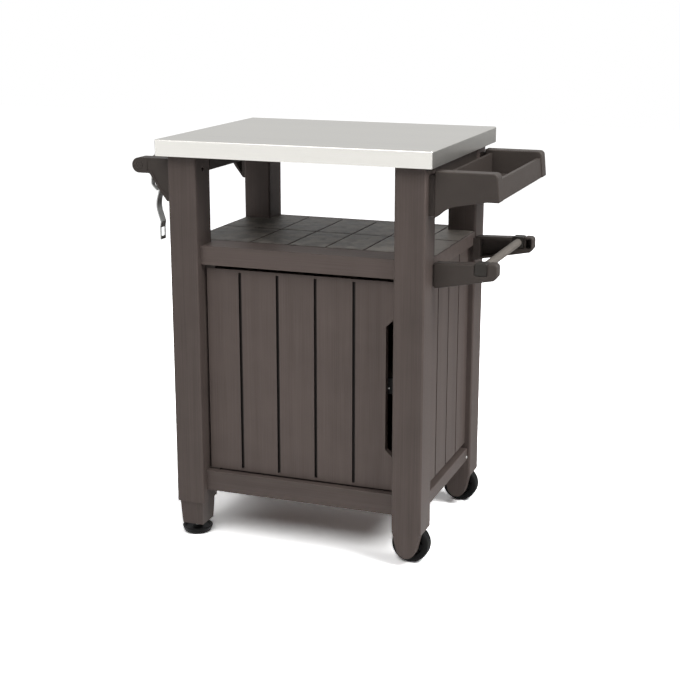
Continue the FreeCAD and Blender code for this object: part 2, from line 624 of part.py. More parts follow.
# Legs: hollow mouldings, closed at the foot and open at the top under the worktop
def make_shaft(body, x_low, x_high, y_low, y_high, step):
    grow(body, "XY", [rectangle(x_low, x_high, y_low, y_high, "leg_round")], step, LEG_TOP)
    hollow = rectangle(f"{x_low} + leg_wall", f"{x_high} - leg_wall",
                       f"{y_low} + leg_wall", f"{y_high} - leg_wall")
    carve(body, "XY", [hollow], f"{step} + leg_floor", LEG_TOP)


def drill_leg(body, side, end, name):
    """Holes for screws in the outer wall, and larger ones for the driver in the inner wall."""
    place, heights = SIDE_SCREWS[name]
    sign = "-" if end == "front" else ""
    inner = LEFT_IN if side == "left" else RIGHT_IN
    walls = ((BORE, f"{LEG_OUT} - leg_wall", LEG_OUT), ("driver_hole", inner, f"{inner} + leg_wall"))
    for radius, low, high in walls:
        holes = [("circle", f"{sign}{place}", height, radius) for height in heights]
        carve(body, "YZ", holes, *band(side, low, high))


def peg_outline(sign, play):
    """The peg at the foot of a handle bracket, seen along X, with room round it."""
    low = f"({HANDLE_Z} - bracket_heel + peg_rise)"
    return rectangle(f"{sign}{LEG_MID} - peg_width/2 - {play}",
                     f"{sign}{LEG_MID} + peg_width/2 + {play}",
                     f"{low} - {play}", f"{low} + peg_height + {play}")


def make_left_leg(end):
    body = new_body(f"leg_{end}_left")
    x_low, x_high = band("left", LEFT_IN, LEG_OUT)
    y_low, y_high = band(end, LEG_BACK, LEG_FRONT)
    make_shaft(body, x_low, x_high, y_low, y_high, "leg_step")
    sections = []
    for inset, level in (("block_inset", "leg_step"),
                         ("(block_inset + block_taper)", "block_bottom")):
        outline = rectangle(f"{x_low} + {inset}", f"{x_high} - {inset}",
                            f"{y_low} + {inset}", f"{y_high} - {inset}")
        sections.append(draw(body, "XY", [outline], level))
    block = body.newObject("PartDesign::AdditiveLoft", f"{body.Name}_block")
    block.Profile = sections[0]
    block.Sections = sections[1:]
    block.Ruled = True
    doc.recompute()
    sign = "-" if end == "front" else ""
    centre = (FOOT_X, f"{sign}{LEG_MID}")
    carve(body, "XY", [("circle", *centre, "insert_radius + running_play")],
          "block_bottom", "block_bottom + insert_height")
    carve(body, "XY", [("circle", *centre, "stem_radius + stem_play")],
          "block_bottom + insert_height", "stem_top + stem_play")
    drill_leg(body, "left", end, "bracket")
    carve(body, "YZ", [peg_outline(sign, "panel_play")],
          *band("left", f"{LEG_OUT} - leg_wall", LEG_OUT))
    publish(body, f"leg_{end}_left")


def make_right_leg(end):
    body = new_body(f"leg_{end}_right")
    y_low, y_high = band(end, LEG_BACK, LEG_FRONT)
    make_shaft(body, RIGHT_IN, LEG_OUT, y_low, y_high, "tongue_top")
    rise = "(tongue_top - wheel_radius)"
    slant = f"sqrt(tongue_width^2/4 + {rise}^2)"
    slope = f"(atan2({rise}; tongue_width/2) - acos(tongue_round/{slant}))"
    across = f"tongue_round*cos({slope})"
    down = f"wheel_radius + tongue_round*sin({slope})"
    tongue = [(f"{WHEEL_X} - tongue_width/2", "tongue_top"), (f"{WHEEL_X} - {across}", down),
              (f"{WHEEL_X} + {across}", down), (f"{WHEEL_X} + tongue_width/2", "tongue_top")]
    back = f"({y_low} + tongue_depth)"
    grow(body, "XZ", [tongue], y_low, back)
    grow(body, "XZ", [("circle", WHEEL_X, "wheel_radius", "tongue_round")], y_low, back)
    carve(body, "XZ", [("circle", WHEEL_X, "wheel_radius", "axle_radius + running_play")],
          f"{back} - axle_seat", back)
    well = ("circle", WHEEL_X, "wheel_radius", "wheel_radius + wheel_clear")
    carve(body, "XZ", [well], back, f"{back} + wheel_gap*2 + wheel_width")
    drill_leg(body, "right", end, "tray")
    drill_leg(body, "right", end, "arm")
    publish(body, f"leg_{end}_right")


def make_side_screws(name, side):
    """Screws set from inside the hollow legs, out through the wall."""
    body = new_body(f"{name}_screws")
    body.AllowCompound = True
    place, heights = SIDE_SCREWS[name]
    spots = [(f"{sign}{place}", height) for sign in ("-", "") for height in heights]
    inside = f"{LEG_OUT} - leg_wall"
    grow(body, "YZ", [("circle", *spot, "screw_head") for spot in spots],
         *band(side, f"{inside} - screw_head_height", inside))
    grow(body, "YZ", [("circle", *spot, "screw_radius") for spot in spots],
         *band(side, inside, f"{LEG_OUT} + screw_bite"))
    publish(body, f"{name}_screws")


def drill_fitting(body, side, sign, name):
    """Blind holes for those screws in the piece that they hold."""
    place, heights = SIDE_SCREWS[name]
    holes = [("circle", f"{sign}{place}", height, BORE) for height in heights]
    carve(body, "YZ", holes, *band(side, LEG_OUT, f"{LEG_OUT} + screw_bite + screw_play"))


# Levelling feet: the stem screws through the insert, and the pad hangs on its end
def make_foot(end):
    sign = "-" if end == "front" else ""
    middle_y = f"{sign}{LEG_MID}"
    bore = "(stem_radius + running_play)"

    insert = new_body(f"foot_insert_{end}")
    turn(insert, "XZ", rectangle(bore, "insert_radius", "0", "insert_height"), "Z_Axis")
    publish(insert, f"foot_insert_{end}", FOOT_X, middle_y, "block_bottom")

    stem = new_body(f"foot_stem_{end}")
    collar = "(block_bottom - collar_gap)"
    grow(stem, "XY", [("circle", "0", "0", "stem_radius")], "pad_floor + running_play", "stem_top")
    hexagon = [(f"collar_radius*cos({60 * side})", f"collar_radius*sin({60 * side})")
               for side in range(6)]
    grow(stem, "XY", [hexagon], f"{collar} - collar_height", collar)
    publish(stem, f"foot_stem_{end}", FOOT_X, middle_y)

    pad = new_body(f"foot_pad_{end}")
    outline = [("0", "0"), ("pad_radius - pad_draw", "0", "pad_round"),
               ("pad_radius", "pad_height", "pad_edge"), (bore, "pad_height"),
               (bore, "pad_floor"), ("0", "pad_floor")]
    turn(pad, "XZ", outline, "Z_Axis")
    publish(pad, f"foot_pad_{end}", FOOT_X, middle_y)


# Wheels: each turns on a stub axle behind the tongue of its leg
def make_wheel(end):
    y_low, _ = band(end, LEG_BACK, LEG_FRONT)
    tongue_back = f"({y_low} + tongue_depth)"
    face = f"({tongue_back} + wheel_gap)"
    middle_y = f"{face} + wheel_width/2"
    tail = f"({face} + wheel_width + side_play)"
    rim = "(rim_radius - rim_wall)"
    half = "wheel_width/2"
    lip = "(wheel_width/2 - rim_lip)"
    bore = "(axle_radius + running_play)"

    hub = new_body(f"wheel_hub_{end}")
    outline = [(bore, f"-{half}"), ("hub_radius", f"-{half}"), ("hub_radius", "-hub_web/2"),
               (rim, "-hub_web/2"), (rim, f"-{lip}"), ("rim_radius", f"-{lip}"),
               ("rim_radius", lip), (rim, lip), (rim, "hub_web/2"),
               ("hub_radius", "hub_web/2"), ("hub_radius", half), (bore, half)]
    turn(hub, "XY", outline, "Y_Axis")
    publish(hub, f"wheel_hub_{end}", WHEEL_X, middle_y, "wheel_radius")

    tyre = new_body(f"tyre_{end}")
    seat = "rim_radius + running_play"
    turn(tyre, "XY", [(seat, f"-{half}"), ("wheel_radius", f"-{half}", "tyre_round"),
                      ("wheel_radius", half, "tyre_round"), (seat, half)], "Y_Axis")
    publish(tyre, f"tyre_{end}", WHEEL_X, middle_y, "wheel_radius")

    centre = (WHEEL_X, "wheel_radius")
    axle = new_body(f"axle_{end}")
    grow(axle, "XZ", [("circle", *centre, "axle_radius")],
         f"{tongue_back} - axle_seat", f"{tail} + cap_height/2")
    grow(axle, "XZ", [("circle", *centre, "axle_radius + axle_collar")],
         tongue_back, f"{face} - side_play")
    publish(axle, f"axle_{end}")

    cap = new_body(f"axle_cap_{end}")
    cap_end = f"{tail} + cap_height"
    grow(cap, "XZ", [("circle", *centre, "cap_radius")], tail, cap_end)
    carve(cap, "XZ", [("circle", *centre, bore)], tail, f"{tail} + cap_height/2")
    fillet(cap, "cap_edge", lambda middle, along: near(middle.y, cap_end))
    publish(cap, f"axle_cap_{end}")


def notched(side, front, back):
    """Plan of a plate that fills the frame and is notched round the four legs."""
    left = [(f"-{LEFT_IN}", back), (f"-{LEFT_IN}", LEG_BACK), (f"-{side}", LEG_BACK),
            (f"-{side}", f"-{LEG_BACK}"), (f"-{LEFT_IN}", f"-{LEG_BACK}"),
            (f"-{LEFT_IN}", f"-{front}")]
    right = [(RIGHT_IN, f"-{front}"), (RIGHT_IN, f"-{LEG_BACK}"), (side, f"-{LEG_BACK}"),
             (side, LEG_BACK), (RIGHT_IN, LEG_BACK), (RIGHT_IN, back)]
    return left + right


# Tiled shelf: a skirted moulding with seams in its top, which also roofs the cabinet
def make_tiled_shelf():
    body = new_body("tiled_shelf")
    back = f"({RAIL_FACE} + shelf_overhang)"
    grow(body, "XY", [notched(SHELF_SIDE, RAIL_FACE, back)], SKIRT_LOW, "shelf_height")
    middle = rectangle(f"shelf_wall - {LEFT_IN}", f"{RIGHT_IN} - shelf_wall",
                       f"shelf_wall - {RAIL_FACE}", f"{back} - shelf_wall")
    carve(body, "XY", [middle], SKIRT_LOW, SHELF_CEILING)
    for side, inner in (("left", LEFT_IN), ("right", RIGHT_IN)):
        cell = rectangle(*band(side, inner, f"{SHELF_SIDE} - shelf_wall"),
                         f"-{LEG_BACK}", LEG_BACK)
        carve(body, "XY", [cell], SKIRT_LOW, SHELF_CEILING)
        wing = rectangle(*band(side, inner, SHELF_SIDE), f"-{LEG_BACK}", LEG_BACK)
        carve(body, "XY", [wing], SKIRT_LOW, "shelf_height - shelf_side_skirt")
    field_low = f"(tile_border - {RAIL_FACE})"
    field_high = f"({RAIL_FACE} - tile_back_border)"
    floor = "shelf_height - tile_seam_depth"
    seam = rectangle(f"{FIRST_SEAM} - tile_seam/2", f"{FIRST_SEAM} + tile_seam/2",
                     field_low, field_high)
    cut = carve(body, "XY", [seam], floor, "shelf_height")
    repeat(body, cut, "X_Axis", f"{PLANK_PITCH}*(tile_seams - 1)", "tile_seams")
    for level in (field_low, f"({field_low} + {field_high})/2"):
        cross = rectangle(f"shelf_wall - {SHELF_SIDE}", f"{SHELF_SIDE} - shelf_wall",
                          f"{level} - tile_seam/2", f"{level} + tile_seam/2")
        carve(body, "XY", [cross], floor, "shelf_height")
    top_front = lambda middle, along: near(middle.z, "shelf_height") and (
        near(middle.y, f"-{RAIL_FACE}") or near(abs(middle.x), SHELF_SIDE))
    fillet(body, "rail_edge", top_front)
    publish(body, "tiled_shelf")


# Rails round the foot of the cabinet, and its floor
def make_long_rail(end):
    label = f"{end}_rail"
    body = new_body(label)
    outline = rectangle(f"-{LEFT_IN}", RIGHT_IN, *band(end, RAIL_IN, RAIL_FACE))
    grow(body, "XY", [outline], "rail_bottom", "front_rail_top")
    fillet(body, "rail_edge",
           lambda middle, along: abs(along.x) > 1 and near(abs(middle.y), RAIL_FACE))
    publish(body, label)


def make_side_rail(side):
    body = new_body(f"side_rail_{side}")
    outline = rectangle(*band(side, f"{SIDE_RAIL_FACE} - side_rail_thick", SIDE_RAIL_FACE),
                        f"-{LEG_BACK}", LEG_BACK)
    grow(body, "XY", [outline], "side_rail_bottom", "side_rail_top")
    fillet(body, "rail_edge",
           lambda middle, along: abs(along.y) > 1 and near(abs(middle.x), SIDE_RAIL_FACE))
    publish(body, f"side_rail_{side}")


def make_cabinet_floor():
    body = new_body("cabinet_floor")
    grow(body, "XY", [notched(PANEL_IN, RAIL_IN, RAIL_IN)], "side_rail_top", FLOOR_TOP)
    publish(body, "cabinet_floor")


# Panels: planks marked by grooves
def make_side_panel(side):
    body = new_body(f"side_panel_{side}")
    outline = rectangle(f"-{LEG_BACK}", LEG_BACK, "side_rail_top", SHELF_CEILING)
    grow(body, "YZ", [outline], *band(side, PANEL_IN, SIDE_FACE))
    foot = "(side_rail_top + panel_shadow)"
    recess = rectangle(f"-{LEG_BACK}", LEG_BACK, "side_rail_top", foot)
    carve(body, "YZ", [recess], *band(side, f"{PANEL_IN} + panel_tongue", SIDE_FACE))
    pitch = f"({LEG_BACK}*2/side_planks)"
    first = f"({pitch} - {LEG_BACK})"
    groove = rectangle(f"{first} - plank_groove/2", f"{first} + plank_groove/2",
                       foot, SHELF_CEILING)
    cut = carve(body, "YZ", [groove], *band(side, f"{SIDE_FACE} - plank_groove_depth", SIDE_FACE))
    repeat(body, cut, "Y_Axis", f"{pitch}*(side_planks - 2)", "side_planks - 1")
    publish(body, f"side_panel_{side}")


def make_back_panel():
    body = new_body("back_panel")
    outline = rectangle(f"-{LEFT_IN}", RIGHT_IN, "front_rail_top", SKIRT_LOW)
    grow(body, "XZ", [outline], BACK_IN, RAIL_FACE)
    pitch = f"(({LEFT_IN} + {RIGHT_IN})/back_planks)"
    first = f"({pitch} - {LEFT_IN})"
    groove = rectangle(f"{first} - plank_groove/2", f"{first} + plank_groove/2",
                       "front_rail_top + door_margin", f"{SKIRT_LOW} - door_margin")
    cut = carve(body, "XZ", [groove], f"{RAIL_FACE} - plank_groove_depth", RAIL_FACE)
    repeat(body, cut, "X_Axis", f"{pitch}*(back_planks - 2)", "back_planks - 1")
    publish(body, "back_panel")


# Shelf inside the cabinet: a shallow tray upside down, dropped on two ledges
def make_inner_shelf():
    body = new_body("inner_shelf")
    side = f"({PANEL_IN} - inner_shelf_play)"
    back = f"({BACK_IN} - inner_shelf_play)"
    notch = f"({LEG_BACK} - inner_shelf_play)"
    left = f"(inner_shelf_play - {LEFT_IN})"
    right = f"({RIGHT_IN} - inner_shelf_play)"
    front = f"(inner_shelf_front - {LEG_FRONT})"
    low = "(inner_shelf_height - inner_shelf_thick)"
    outline = [(f"-{side}", front), (side, front), (side, notch), (right, notch),
               (right, back), (left, back), (left, notch), (f"-{side}", notch)]
    grow(body, "XY", [outline], low, "inner_shelf_height")
    reach = f"({side} - ledge_width - ledge_edge)"
    ceiling = "inner_shelf_height - inner_shelf_skin"
    for y_low, y_high in ((f"{front} + rib_width", "-rib_width/2"),
                          ("rib_width/2", f"{notch} - rib_width")):
        for x_low, x_high in ((f"-{reach}", "-rib_width/2"), ("rib_width/2", reach)):
            carve(body, "XY", [rectangle(x_low, x_high, y_low, y_high)], low, ceiling)
    publish(body, "inner_shelf")


def make_ledge(side):
    body = new_body(f"shelf_ledge_{side}")
    sign = "-" if side == "left" else ""
    top = "(inner_shelf_height - inner_shelf_thick)"
    wedge = [(f"{sign}{PANEL_IN}", top), (f"{sign}({PANEL_IN} - ledge_width)", top),
             (f"{sign}({PANEL_IN} - ledge_width)", f"{top} - ledge_edge"),
             (f"{sign}{PANEL_IN}", f"{top} - ledge_height")]
    grow(body, "XZ", [wedge], f"ledge_width - {LEG_BACK}", f"{LEG_BACK} - ledge_width")
    publish(body, f"shelf_ledge_{side}")


# Door: planks, a finger notch in the free edge, pin bores above and below
def make_door():
    body = new_body("door")
    x_low, x_high = f"-{DOOR_LEFT}", DOOR_RIGHT
    face, back = f"-{DOOR_FACE}", f"(door_thick - {DOOR_FACE})"
    grip = f"{x_high} - grip_depth"
    outline = [(x_low, DOOR_LOW), (x_high, DOOR_LOW), (x_high, "grip_low - grip_depth"),
               (grip, "grip_low", "leg_round"), (grip, "grip_high", "leg_round"),
               (x_high, "grip_high + grip_depth"), (x_high, DOOR_HIGH), (x_low, DOOR_HIGH)]
    grow(body, "XZ", [outline], face, back)
    groove = rectangle(f"{FIRST_SEAM} - plank_groove/2", f"{FIRST_SEAM} + plank_groove/2",
                       f"{DOOR_LOW} + door_margin", f"{DOOR_HIGH} - door_margin")
    cut = carve(body, "XZ", [groove], face, f"{face} + door_groove_depth")
    repeat(body, cut, "X_Axis", f"{PLANK_PITCH}*(door_grooves - 1)", "door_grooves")
    hollow = rectangle(f"{x_low} + door_frame", f"{grip} - door_frame",
                       f"{DOOR_LOW} + door_frame", f"{DOOR_HIGH} - door_frame")
    carve(body, "XZ", [hollow], f"{back} - door_hollow", back)
    carve(body, "XZ", [strike_outline()], f"{back} - strike_gauge", back)
    bore = ("circle", HINGE_X, HINGE_Y, "hinge_pin_radius + running_play")
    carve(body, "XY", [bore], DOOR_LOW, f"{DOOR_LOW} + hinge_pin_reach + pin_play")
    carve(body, "XY", [bore], f"{DOOR_HIGH} - hinge_pin_reach - pin_play", DOOR_HIGH)
    publish(body, "door")


def strike_outline():
    """The strike plate covers the part of the magnet that the door covers."""
    return rectangle(f"{MAGNET_LEFT} - strike_rim", f"{MAGNET_LEFT} + strike_width",
                     "catch_height - magnet_height/2 - strike_rim",
                     "catch_height + magnet_height/2 + strike_rim")


def make_strike_plate():
    body = new_body("strike_plate")
    back = f"(door_thick - {DOOR_FACE})"
    grow(body, "XZ", [strike_outline()], f"{back} - strike_gauge", back)
    publish(body, "strike_plate")


def make_hinge(end):
    """A bracket on the left leg and the pin that stands out of it into the door."""
    plate = new_body(f"hinge_bracket_{end}")
    pin = new_body(f"hinge_pin_{end}")
    if end == "lower":
        low, high = FLOOR_TOP, f"{DOOR_LOW} - hinge_gap"
        socket = (f"{high} - hinge_pin_root", high)
        reach = (socket[0], f"{DOOR_LOW} + hinge_pin_reach")
    else:
        low, high = f"{DOOR_HIGH} + hinge_gap", SKIRT_LOW
        socket = (low, f"{low} + hinge_pin_root")
        reach = (f"{DOOR_HIGH} - hinge_pin_reach", socket[1])
    outline = rectangle(f"-{LEFT_IN}", f"{HINGE_X} + hinge_plate/2",
                        f"{HINGE_Y} - hinge_plate/2", f"{HINGE_Y} + hinge_plate/2")
    outline[1] = (*outline[1], "hinge_pin_radius")
    outline[2] = (*outline[2], "hinge_pin_radius")
    grow(plate, "XY", [outline], low, high)
    carve(plate, "XY", [("circle", HINGE_X, HINGE_Y, "hinge_pin_radius + running_play")], *socket)
    publish(plate, f"hinge_bracket_{end}")
    grow(pin, "XY", [("circle", HINGE_X, HINGE_Y, "hinge_pin_radius")], *reach)
    publish(pin, f"hinge_pin_{end}")


def make_catch():
    housing = new_body("catch_housing")
    face = f"(door_thick - {DOOR_FACE} + catch_gap)"
    shell = rectangle(f"{RIGHT_IN} - catch_reach", RIGHT_IN,
                      "catch_height - catch_size/2", "catch_height + catch_size/2")
    grow(housing, "XZ", [shell], face, f"{face} + catch_thick")
    block = rectangle(MAGNET_LEFT, f"{MAGNET_LEFT} + magnet_width",
                      "catch_height - magnet_height/2", "catch_height + magnet_height/2")
    carve(housing, "XZ", [block], face, f"{face} + magnet_depth")
    publish(housing, "catch_housing")
    magnet = new_body("catch_magnet")
    grow(magnet, "XZ", [block], face, f"{face} + magnet_depth")
    publish(magnet, "catch_magnet")


# Handle: two brackets screwed to the left legs, a rail seated and bolted between them
def make_handle_bracket(end):
    body = new_body(f"handle_bracket_{end}")
    sign = "-" if end == "front" else ""
    top = f"({HANDLE_Z} + bracket_round)"
    under = f"({HANDLE_Z} - bracket_round)"
    heel = f"({HANDLE_Z} - bracket_heel)"
    neck = f"({HANDLE_X} + bracket_neck)"
    knee = (f"-{LEG_OUT} - bracket_knee_out", f"{HANDLE_Z} - bracket_knee_drop")
    outline = [(f"-{LEG_OUT}", top), (HANDLE_X, top), (HANDLE_X, under),
               (neck, under, "bracket_rim"), (*knee, "bracket_bend"),
               (f"-{LEG_OUT} - bracket_foot", heel, "bracket_rim"), (f"-{LEG_OUT}", heel)]
    grow(body, "XZ", [outline], *band(end, BRACKET_IN, BRACKET_OUT))
    axis = (HANDLE_X, HANDLE_Z)
    grow(body, "XZ", [("circle", *axis, "bracket_round")], *band(end, BRACKET_IN, BRACKET_OUT))

    def web(inset, root):
        """Outline of the web between boss and leg, drawn in from the edges."""
        corners = [(f"-{LEG_OUT} - {root}", f"{top} - {inset}"),
                   (f"{neck} - {inset}", f"{top} - {inset}"),
                   (f"{neck} - {inset}", f"{under} + {inset}"),
                   (f"{neck} + {inset}", f"{under} + {inset}"),
                   (f"{knee[0]} + {inset}", f"{knee[1]} + {inset}/2"),
                   (f"-{LEG_OUT} - {root}", f"{heel} + {inset}*2")]
        return corners

    carve(body, "XZ", [web("bracket_rim", "bracket_rim")],
          *band(end, f"{BRACKET_OUT} - bracket_sink", BRACKET_OUT))
    carve(body, "XZ", [web("bracket_rim", "bracket_solid")],
          *band(end, BRACKET_IN, f"{BRACKET_OUT} - bracket_sink - leg_wall"))
    carve(body, "XZ", [("circle", *axis, "rail_radius + running_play")],
          *band(end, BRACKET_IN, f"{BRACKET_IN} + bracket_seat"))
    carve(body, "XZ", [("circle", *axis, "rail_bolt_radius + running_play")],
          *band(end, f"{BRACKET_IN} + bracket_seat", BRACKET_OUT))
    carve(body, "XZ", [("circle", *axis, "rail_cap_radius + running_play")],
          *band(end, f"{BRACKET_OUT} - rail_cap_depth", BRACKET_OUT))
    grow(body, "YZ", [peg_outline(sign, "0")], *band("left", f"{LEG_OUT} - leg_wall", LEG_OUT))
    drill_fitting(body, "left", sign, "bracket")
    publish(body, f"handle_bracket_{end}")


def make_handle_rail():
    body = new_body("handle_rail")
    axis = (HANDLE_X, HANDLE_Z)
    reach = f"({BRACKET_IN} + bracket_seat)"
    grow(body, "XZ", [("circle", *axis, "rail_radius")], f"-{reach}", reach)
    for end in ("front", "rear"):
        carve(body, "XZ", [("circle", *axis, "rail_bolt_radius + running_play")],
              *band(end, f"{reach} - rail_bolt_length - pin_play", reach))
    publish(body, "handle_rail")


def make_rail_bolts():
    body = new_body("rail_bolts")
    body.AllowCompound = True
    axis = (HANDLE_X, HANDLE_Z)
    seat = f"{BRACKET_OUT} - rail_cap_depth"
    for end in ("front", "rear"):
        grow(body, "XZ", [("circle", *axis, "rail_bolt_radius")],
             *band(end, f"{BRACKET_IN} + bracket_seat - rail_bolt_length", seat))
        grow(body, "XZ", [("circle", *axis, "rail_bolt_head_radius")],
             *band(end, seat, f"{seat} + rail_bolt_head"))
    publish(body, "rail_bolts")


def make_rail_cap(end):
    body = new_body(f"rail_cap_{end}")
    axis = (HANDLE_X, HANDLE_Z)
    low, high = band(end, f"{BRACKET_OUT} - rail_cap_thick", f"{BRACKET_OUT} + rail_cap_proud")
    grow(body, "XZ", [("circle", *axis, "rail_cap_radius")], low, high)
    fillet(body, "rail_cap_proud", lambda middle, along: near(middle.y, low if end == "front" else high))
    publish(body, f"rail_cap_{end}")


# Bottle opener: one strip bent round the rail, bowed, kinked and pierced at its lower end
def make_opener():
    half = "(rail_radius + opener_play + opener_gauge/2)"
    bends = [("-opener_tip", "-opener_tip_drop"),
             ("-opener_bow", "-opener_bow_drop - opener_bow_run", "rail_radius"),
             ("-opener_bow", "-opener_bow_drop", "rail_radius"),
             (f"-{half}", half, "rail_radius"), (half, half, "rail_radius"),
             (half, "-rail_radius", "opener_bend"),
             ("-opener_waist", "-opener_waist_drop", "opener_bend"),
             ("-opener_belly", "-opener_belly_drop", "opener_curve"),
             ("-opener_heel", "-opener_heel_drop", "opener_kink"),
             ("-opener_plate", "-opener_plate_drop", "opener_kink"),
             ("-opener_plate", "-opener_drop + opener_gauge/2")]
    path = doc.addObject("Sketcher::SketchObject", "opener_path")
    path.Placement = FreeCAD.Placement(FreeCAD.Vector(), FreeCAD.Rotation(FreeCAD.Vector(1, 0, 0), 90))
    draw_outline(path, bends, closed=False)
    strip = doc.addObject("Part::Offset2D", "opener_strip")
    strip.Source = path
    strip.Mode = "Pipe"
    strip.Join = "Arc"
    strip.Fill = True
    bind(strip, "Value", "opener_gauge/2")
    blank = doc.addObject("Part::Extrusion", "opener_blank")
    blank.Base = strip
    blank.DirMode = "Custom"
    blank.Dir = FreeCAD.Vector(0, 1, 0)
    blank.Solid = True
    bind(blank, "LengthFwd", "opener_width/2")
    bind(blank, "LengthRev", "opener_width/2")
    window = doc.addObject("Part::Box", "opener_window")
    bind(window, "Length", "handle_reach")
    bind(window, "Width", "opener_width - opener_side*2")
    bind(window, "Height", "opener_window")
    bind(window, "Placement.Base.x", "-handle_reach/2")
    bind(window, "Placement.Base.y", "opener_side - opener_width/2")
    bind(window, "Placement.Base.z", "opener_lip - opener_drop")
    tools = [window]
    for side in (-1, 1):
        trim = doc.addObject("Part::Box", "opener_trim")
        bind(trim, "Length", "opener_bow")
        bind(trim, "Width", "opener_width/2")
        bind(trim, "Height", "opener_tip_drop")
        bind(trim, "Placement.Base.x", "-opener_bow - opener_tip/2 - opener_gauge")
        bind(trim, "Placement.Base.z", "-opener_tip_drop - rail_radius")
        edge = "opener_tongue/2" if side > 0 else "-opener_tongue/2 - opener_width/2"
        bind(trim, "Placement.Base.y", edge)
        tools.append(trim)
    fused = doc.addObject("Part::MultiFuse", "opener_cuts")
    fused.Shapes = tools
    opener = doc.addObject("Part::Cut", "bottle_opener")
    opener.Base = blank
    opener.Tool = fused
    doc.recompute()
    publish(opener, "bottle_opener", HANDLE_X, "-opener_place", HANDLE_Z)


# Condiment tray: two hollow cheeks on necks, with a trough between them
def make_tray():
    body = new_body("condiment_tray")
    half = TRAY_END
    inside = f"({TRAY_END} - tray_cheek)"
    cheek = [(TRAY_IN, TRAY_TOP), (f"{TRAY_OUT} - tray_lean", TRAY_TOP, "tray_round"),
             (TRAY_OUT, TRAY_LOW, "tray_edge"), (f"{TRAY_OUT} - tray_flat", TRAY_LOW),
             (f"{TRAY_IN} + tray_bend_out", f"{TRAY_LOW} - tray_bend_drop", "tray_sweep"),
             (f"{TRAY_IN} + tray_hook_out", f"{TRAY_LOW} - tray_hook_drop", "tray_hook"),
             (TRAY_IN, f"{TRAY_LOW} - tray_heel_drop")]
    for end in ("front", "rear"):
        grow(body, "XZ", [cheek], *band(end, inside, half))
    lean = f"tray_lean*({TRAY_OUTER} - {TRAY_LOW})/({TRAY_TOP} - {TRAY_LOW})"
    wall_x = f"({TRAY_OUT} - tray_wall_back)"
    inner_x = f"({TRAY_IN} + tray_wall_in)"
    bed = f"{TRAY_LOW} + tray_skin"
    trough = [(inner_x, TRAY_LOW), (wall_x, TRAY_LOW),
              (f"{wall_x} - {lean}", TRAY_OUTER),
              (f"{wall_x} - {lean} - tray_wall", TRAY_OUTER),
              (f"{wall_x} - tray_wall", bed, "tray_edge"),
              (f"{inner_x} + tray_wall", bed, "tray_edge"),
              (f"{inner_x} + tray_wall", TRAY_RIM), (inner_x, TRAY_RIM)]
    top_edge = lambda middle, along: (near(abs(middle.y), half, inside)
                                      and middle.z > number(f"{TRAY_LOW} + tray_edge"))
    fillet(body, "tray_edge", top_edge)
    grow(body, "XZ", [trough], f"-{inside}", inside)
    for end in ("front", "rear"):
        cell = rectangle(f"{TRAY_IN} + tray_shell", f"{TRAY_OUT} - tray_lean - tray_shell",
                         *band(end, f"{inside} + tray_shell", f"{half} - tray_shell"))
        carve(body, "XY", [cell], f"{TRAY_LOW} - tray_heel_drop", f"{TRAY_TOP} - tray_shell")
        neck = rectangle(LEG_OUT, f"{TRAY_IN} + tray_shell",
                         f"{TRAY_LOW} - tray_heel_drop + neck_inset", TRAY_RIM)
        grow(body, "XZ", [neck], *band(end, f"{inside} + neck_inset", f"{half} - neck_inset"))
        drill_fitting(body, "right", "-" if end == "front" else "", "tray")
    publish(body, "condiment_tray")


# Towel holder: two arms with open slots, and a roller whose end blocks drop into them
def make_towel_arm(end):
    body = new_body(f"towel_arm_{end}")
    inner, outer = ARM_INNER, ARM_OUTER
    slot_in, slot_out = f"({SLOT_X} - slot_width/2)", f"({SLOT_X} + slot_width/2)"
    root_low = f"({ARM_TOP} - arm_root)"
    tip_low = f"({root_low} + arm_under)"
    outline = [(ARM_IN, ARM_TOP), (ARM_IN, root_low), (f"{ARM_END} - arm_chamfer", tip_low),
               (ARM_END, f"{tip_low} + arm_chamfer_rise"), (ARM_END, POST_TOP, "post_round"),
               (slot_out, POST_TOP, "post_round/2"), (slot_out, SLOT_LOW, "slot_round"),
               (slot_in, SLOT_LOW, "slot_round"), (slot_in, f"{ARM_TOP} + arm_rise")]
    grow(body, "XZ", [outline], *band(end, inner, outer))
    fillet(body, "arm_edge", lambda middle, along: (
        near(abs(middle.y), inner, outer) and not near(middle.x, ARM_IN)))
    hollow = (f"({LEG_OUT} + bracket_solid)", f"({slot_in} - arm_wall)")
    rise = f"arm_under/({ARM_END} - arm_chamfer - {ARM_IN})"
    floor = [f"{root_low} + arm_wall + {rise}*({place} - {ARM_IN})" for place in hollow]
    roof = f"{ARM_TOP} - arm_wall"
    cell = [(hollow[0], floor[0]), (hollow[1], floor[1]), (hollow[1], roof), (hollow[0], roof)]
    post = rectangle(f"{slot_out} + arm_wall", f"{ARM_END} - arm_wall",
                     SLOT_LOW, f"{POST_TOP} - arm_wall")
    carve(body, "XZ", [cell, post], *band(end, inner, f"{outer} - arm_wall"))
    neck = rectangle(LEG_OUT, f"{ARM_IN} + arm_wall", f"{root_low} + neck_inset",
                     f"{ARM_TOP} - neck_inset")
    corner = f"({LEG_BACK} - panel_play)"
    grow(body, "XZ", [neck], *band(end, corner, f"{outer} - neck_inset"))
    block = rectangle(SHELF_SIDE, f"{ARM_IN} + arm_wall", root_low, f"{ARM_TOP} - neck_inset")
    grow(body, "XZ", [block], *band(end, inner, corner))
    drill_fitting(body, "right", "-" if end == "front" else "", "arm")
    publish(body, f"towel_arm_{end}")


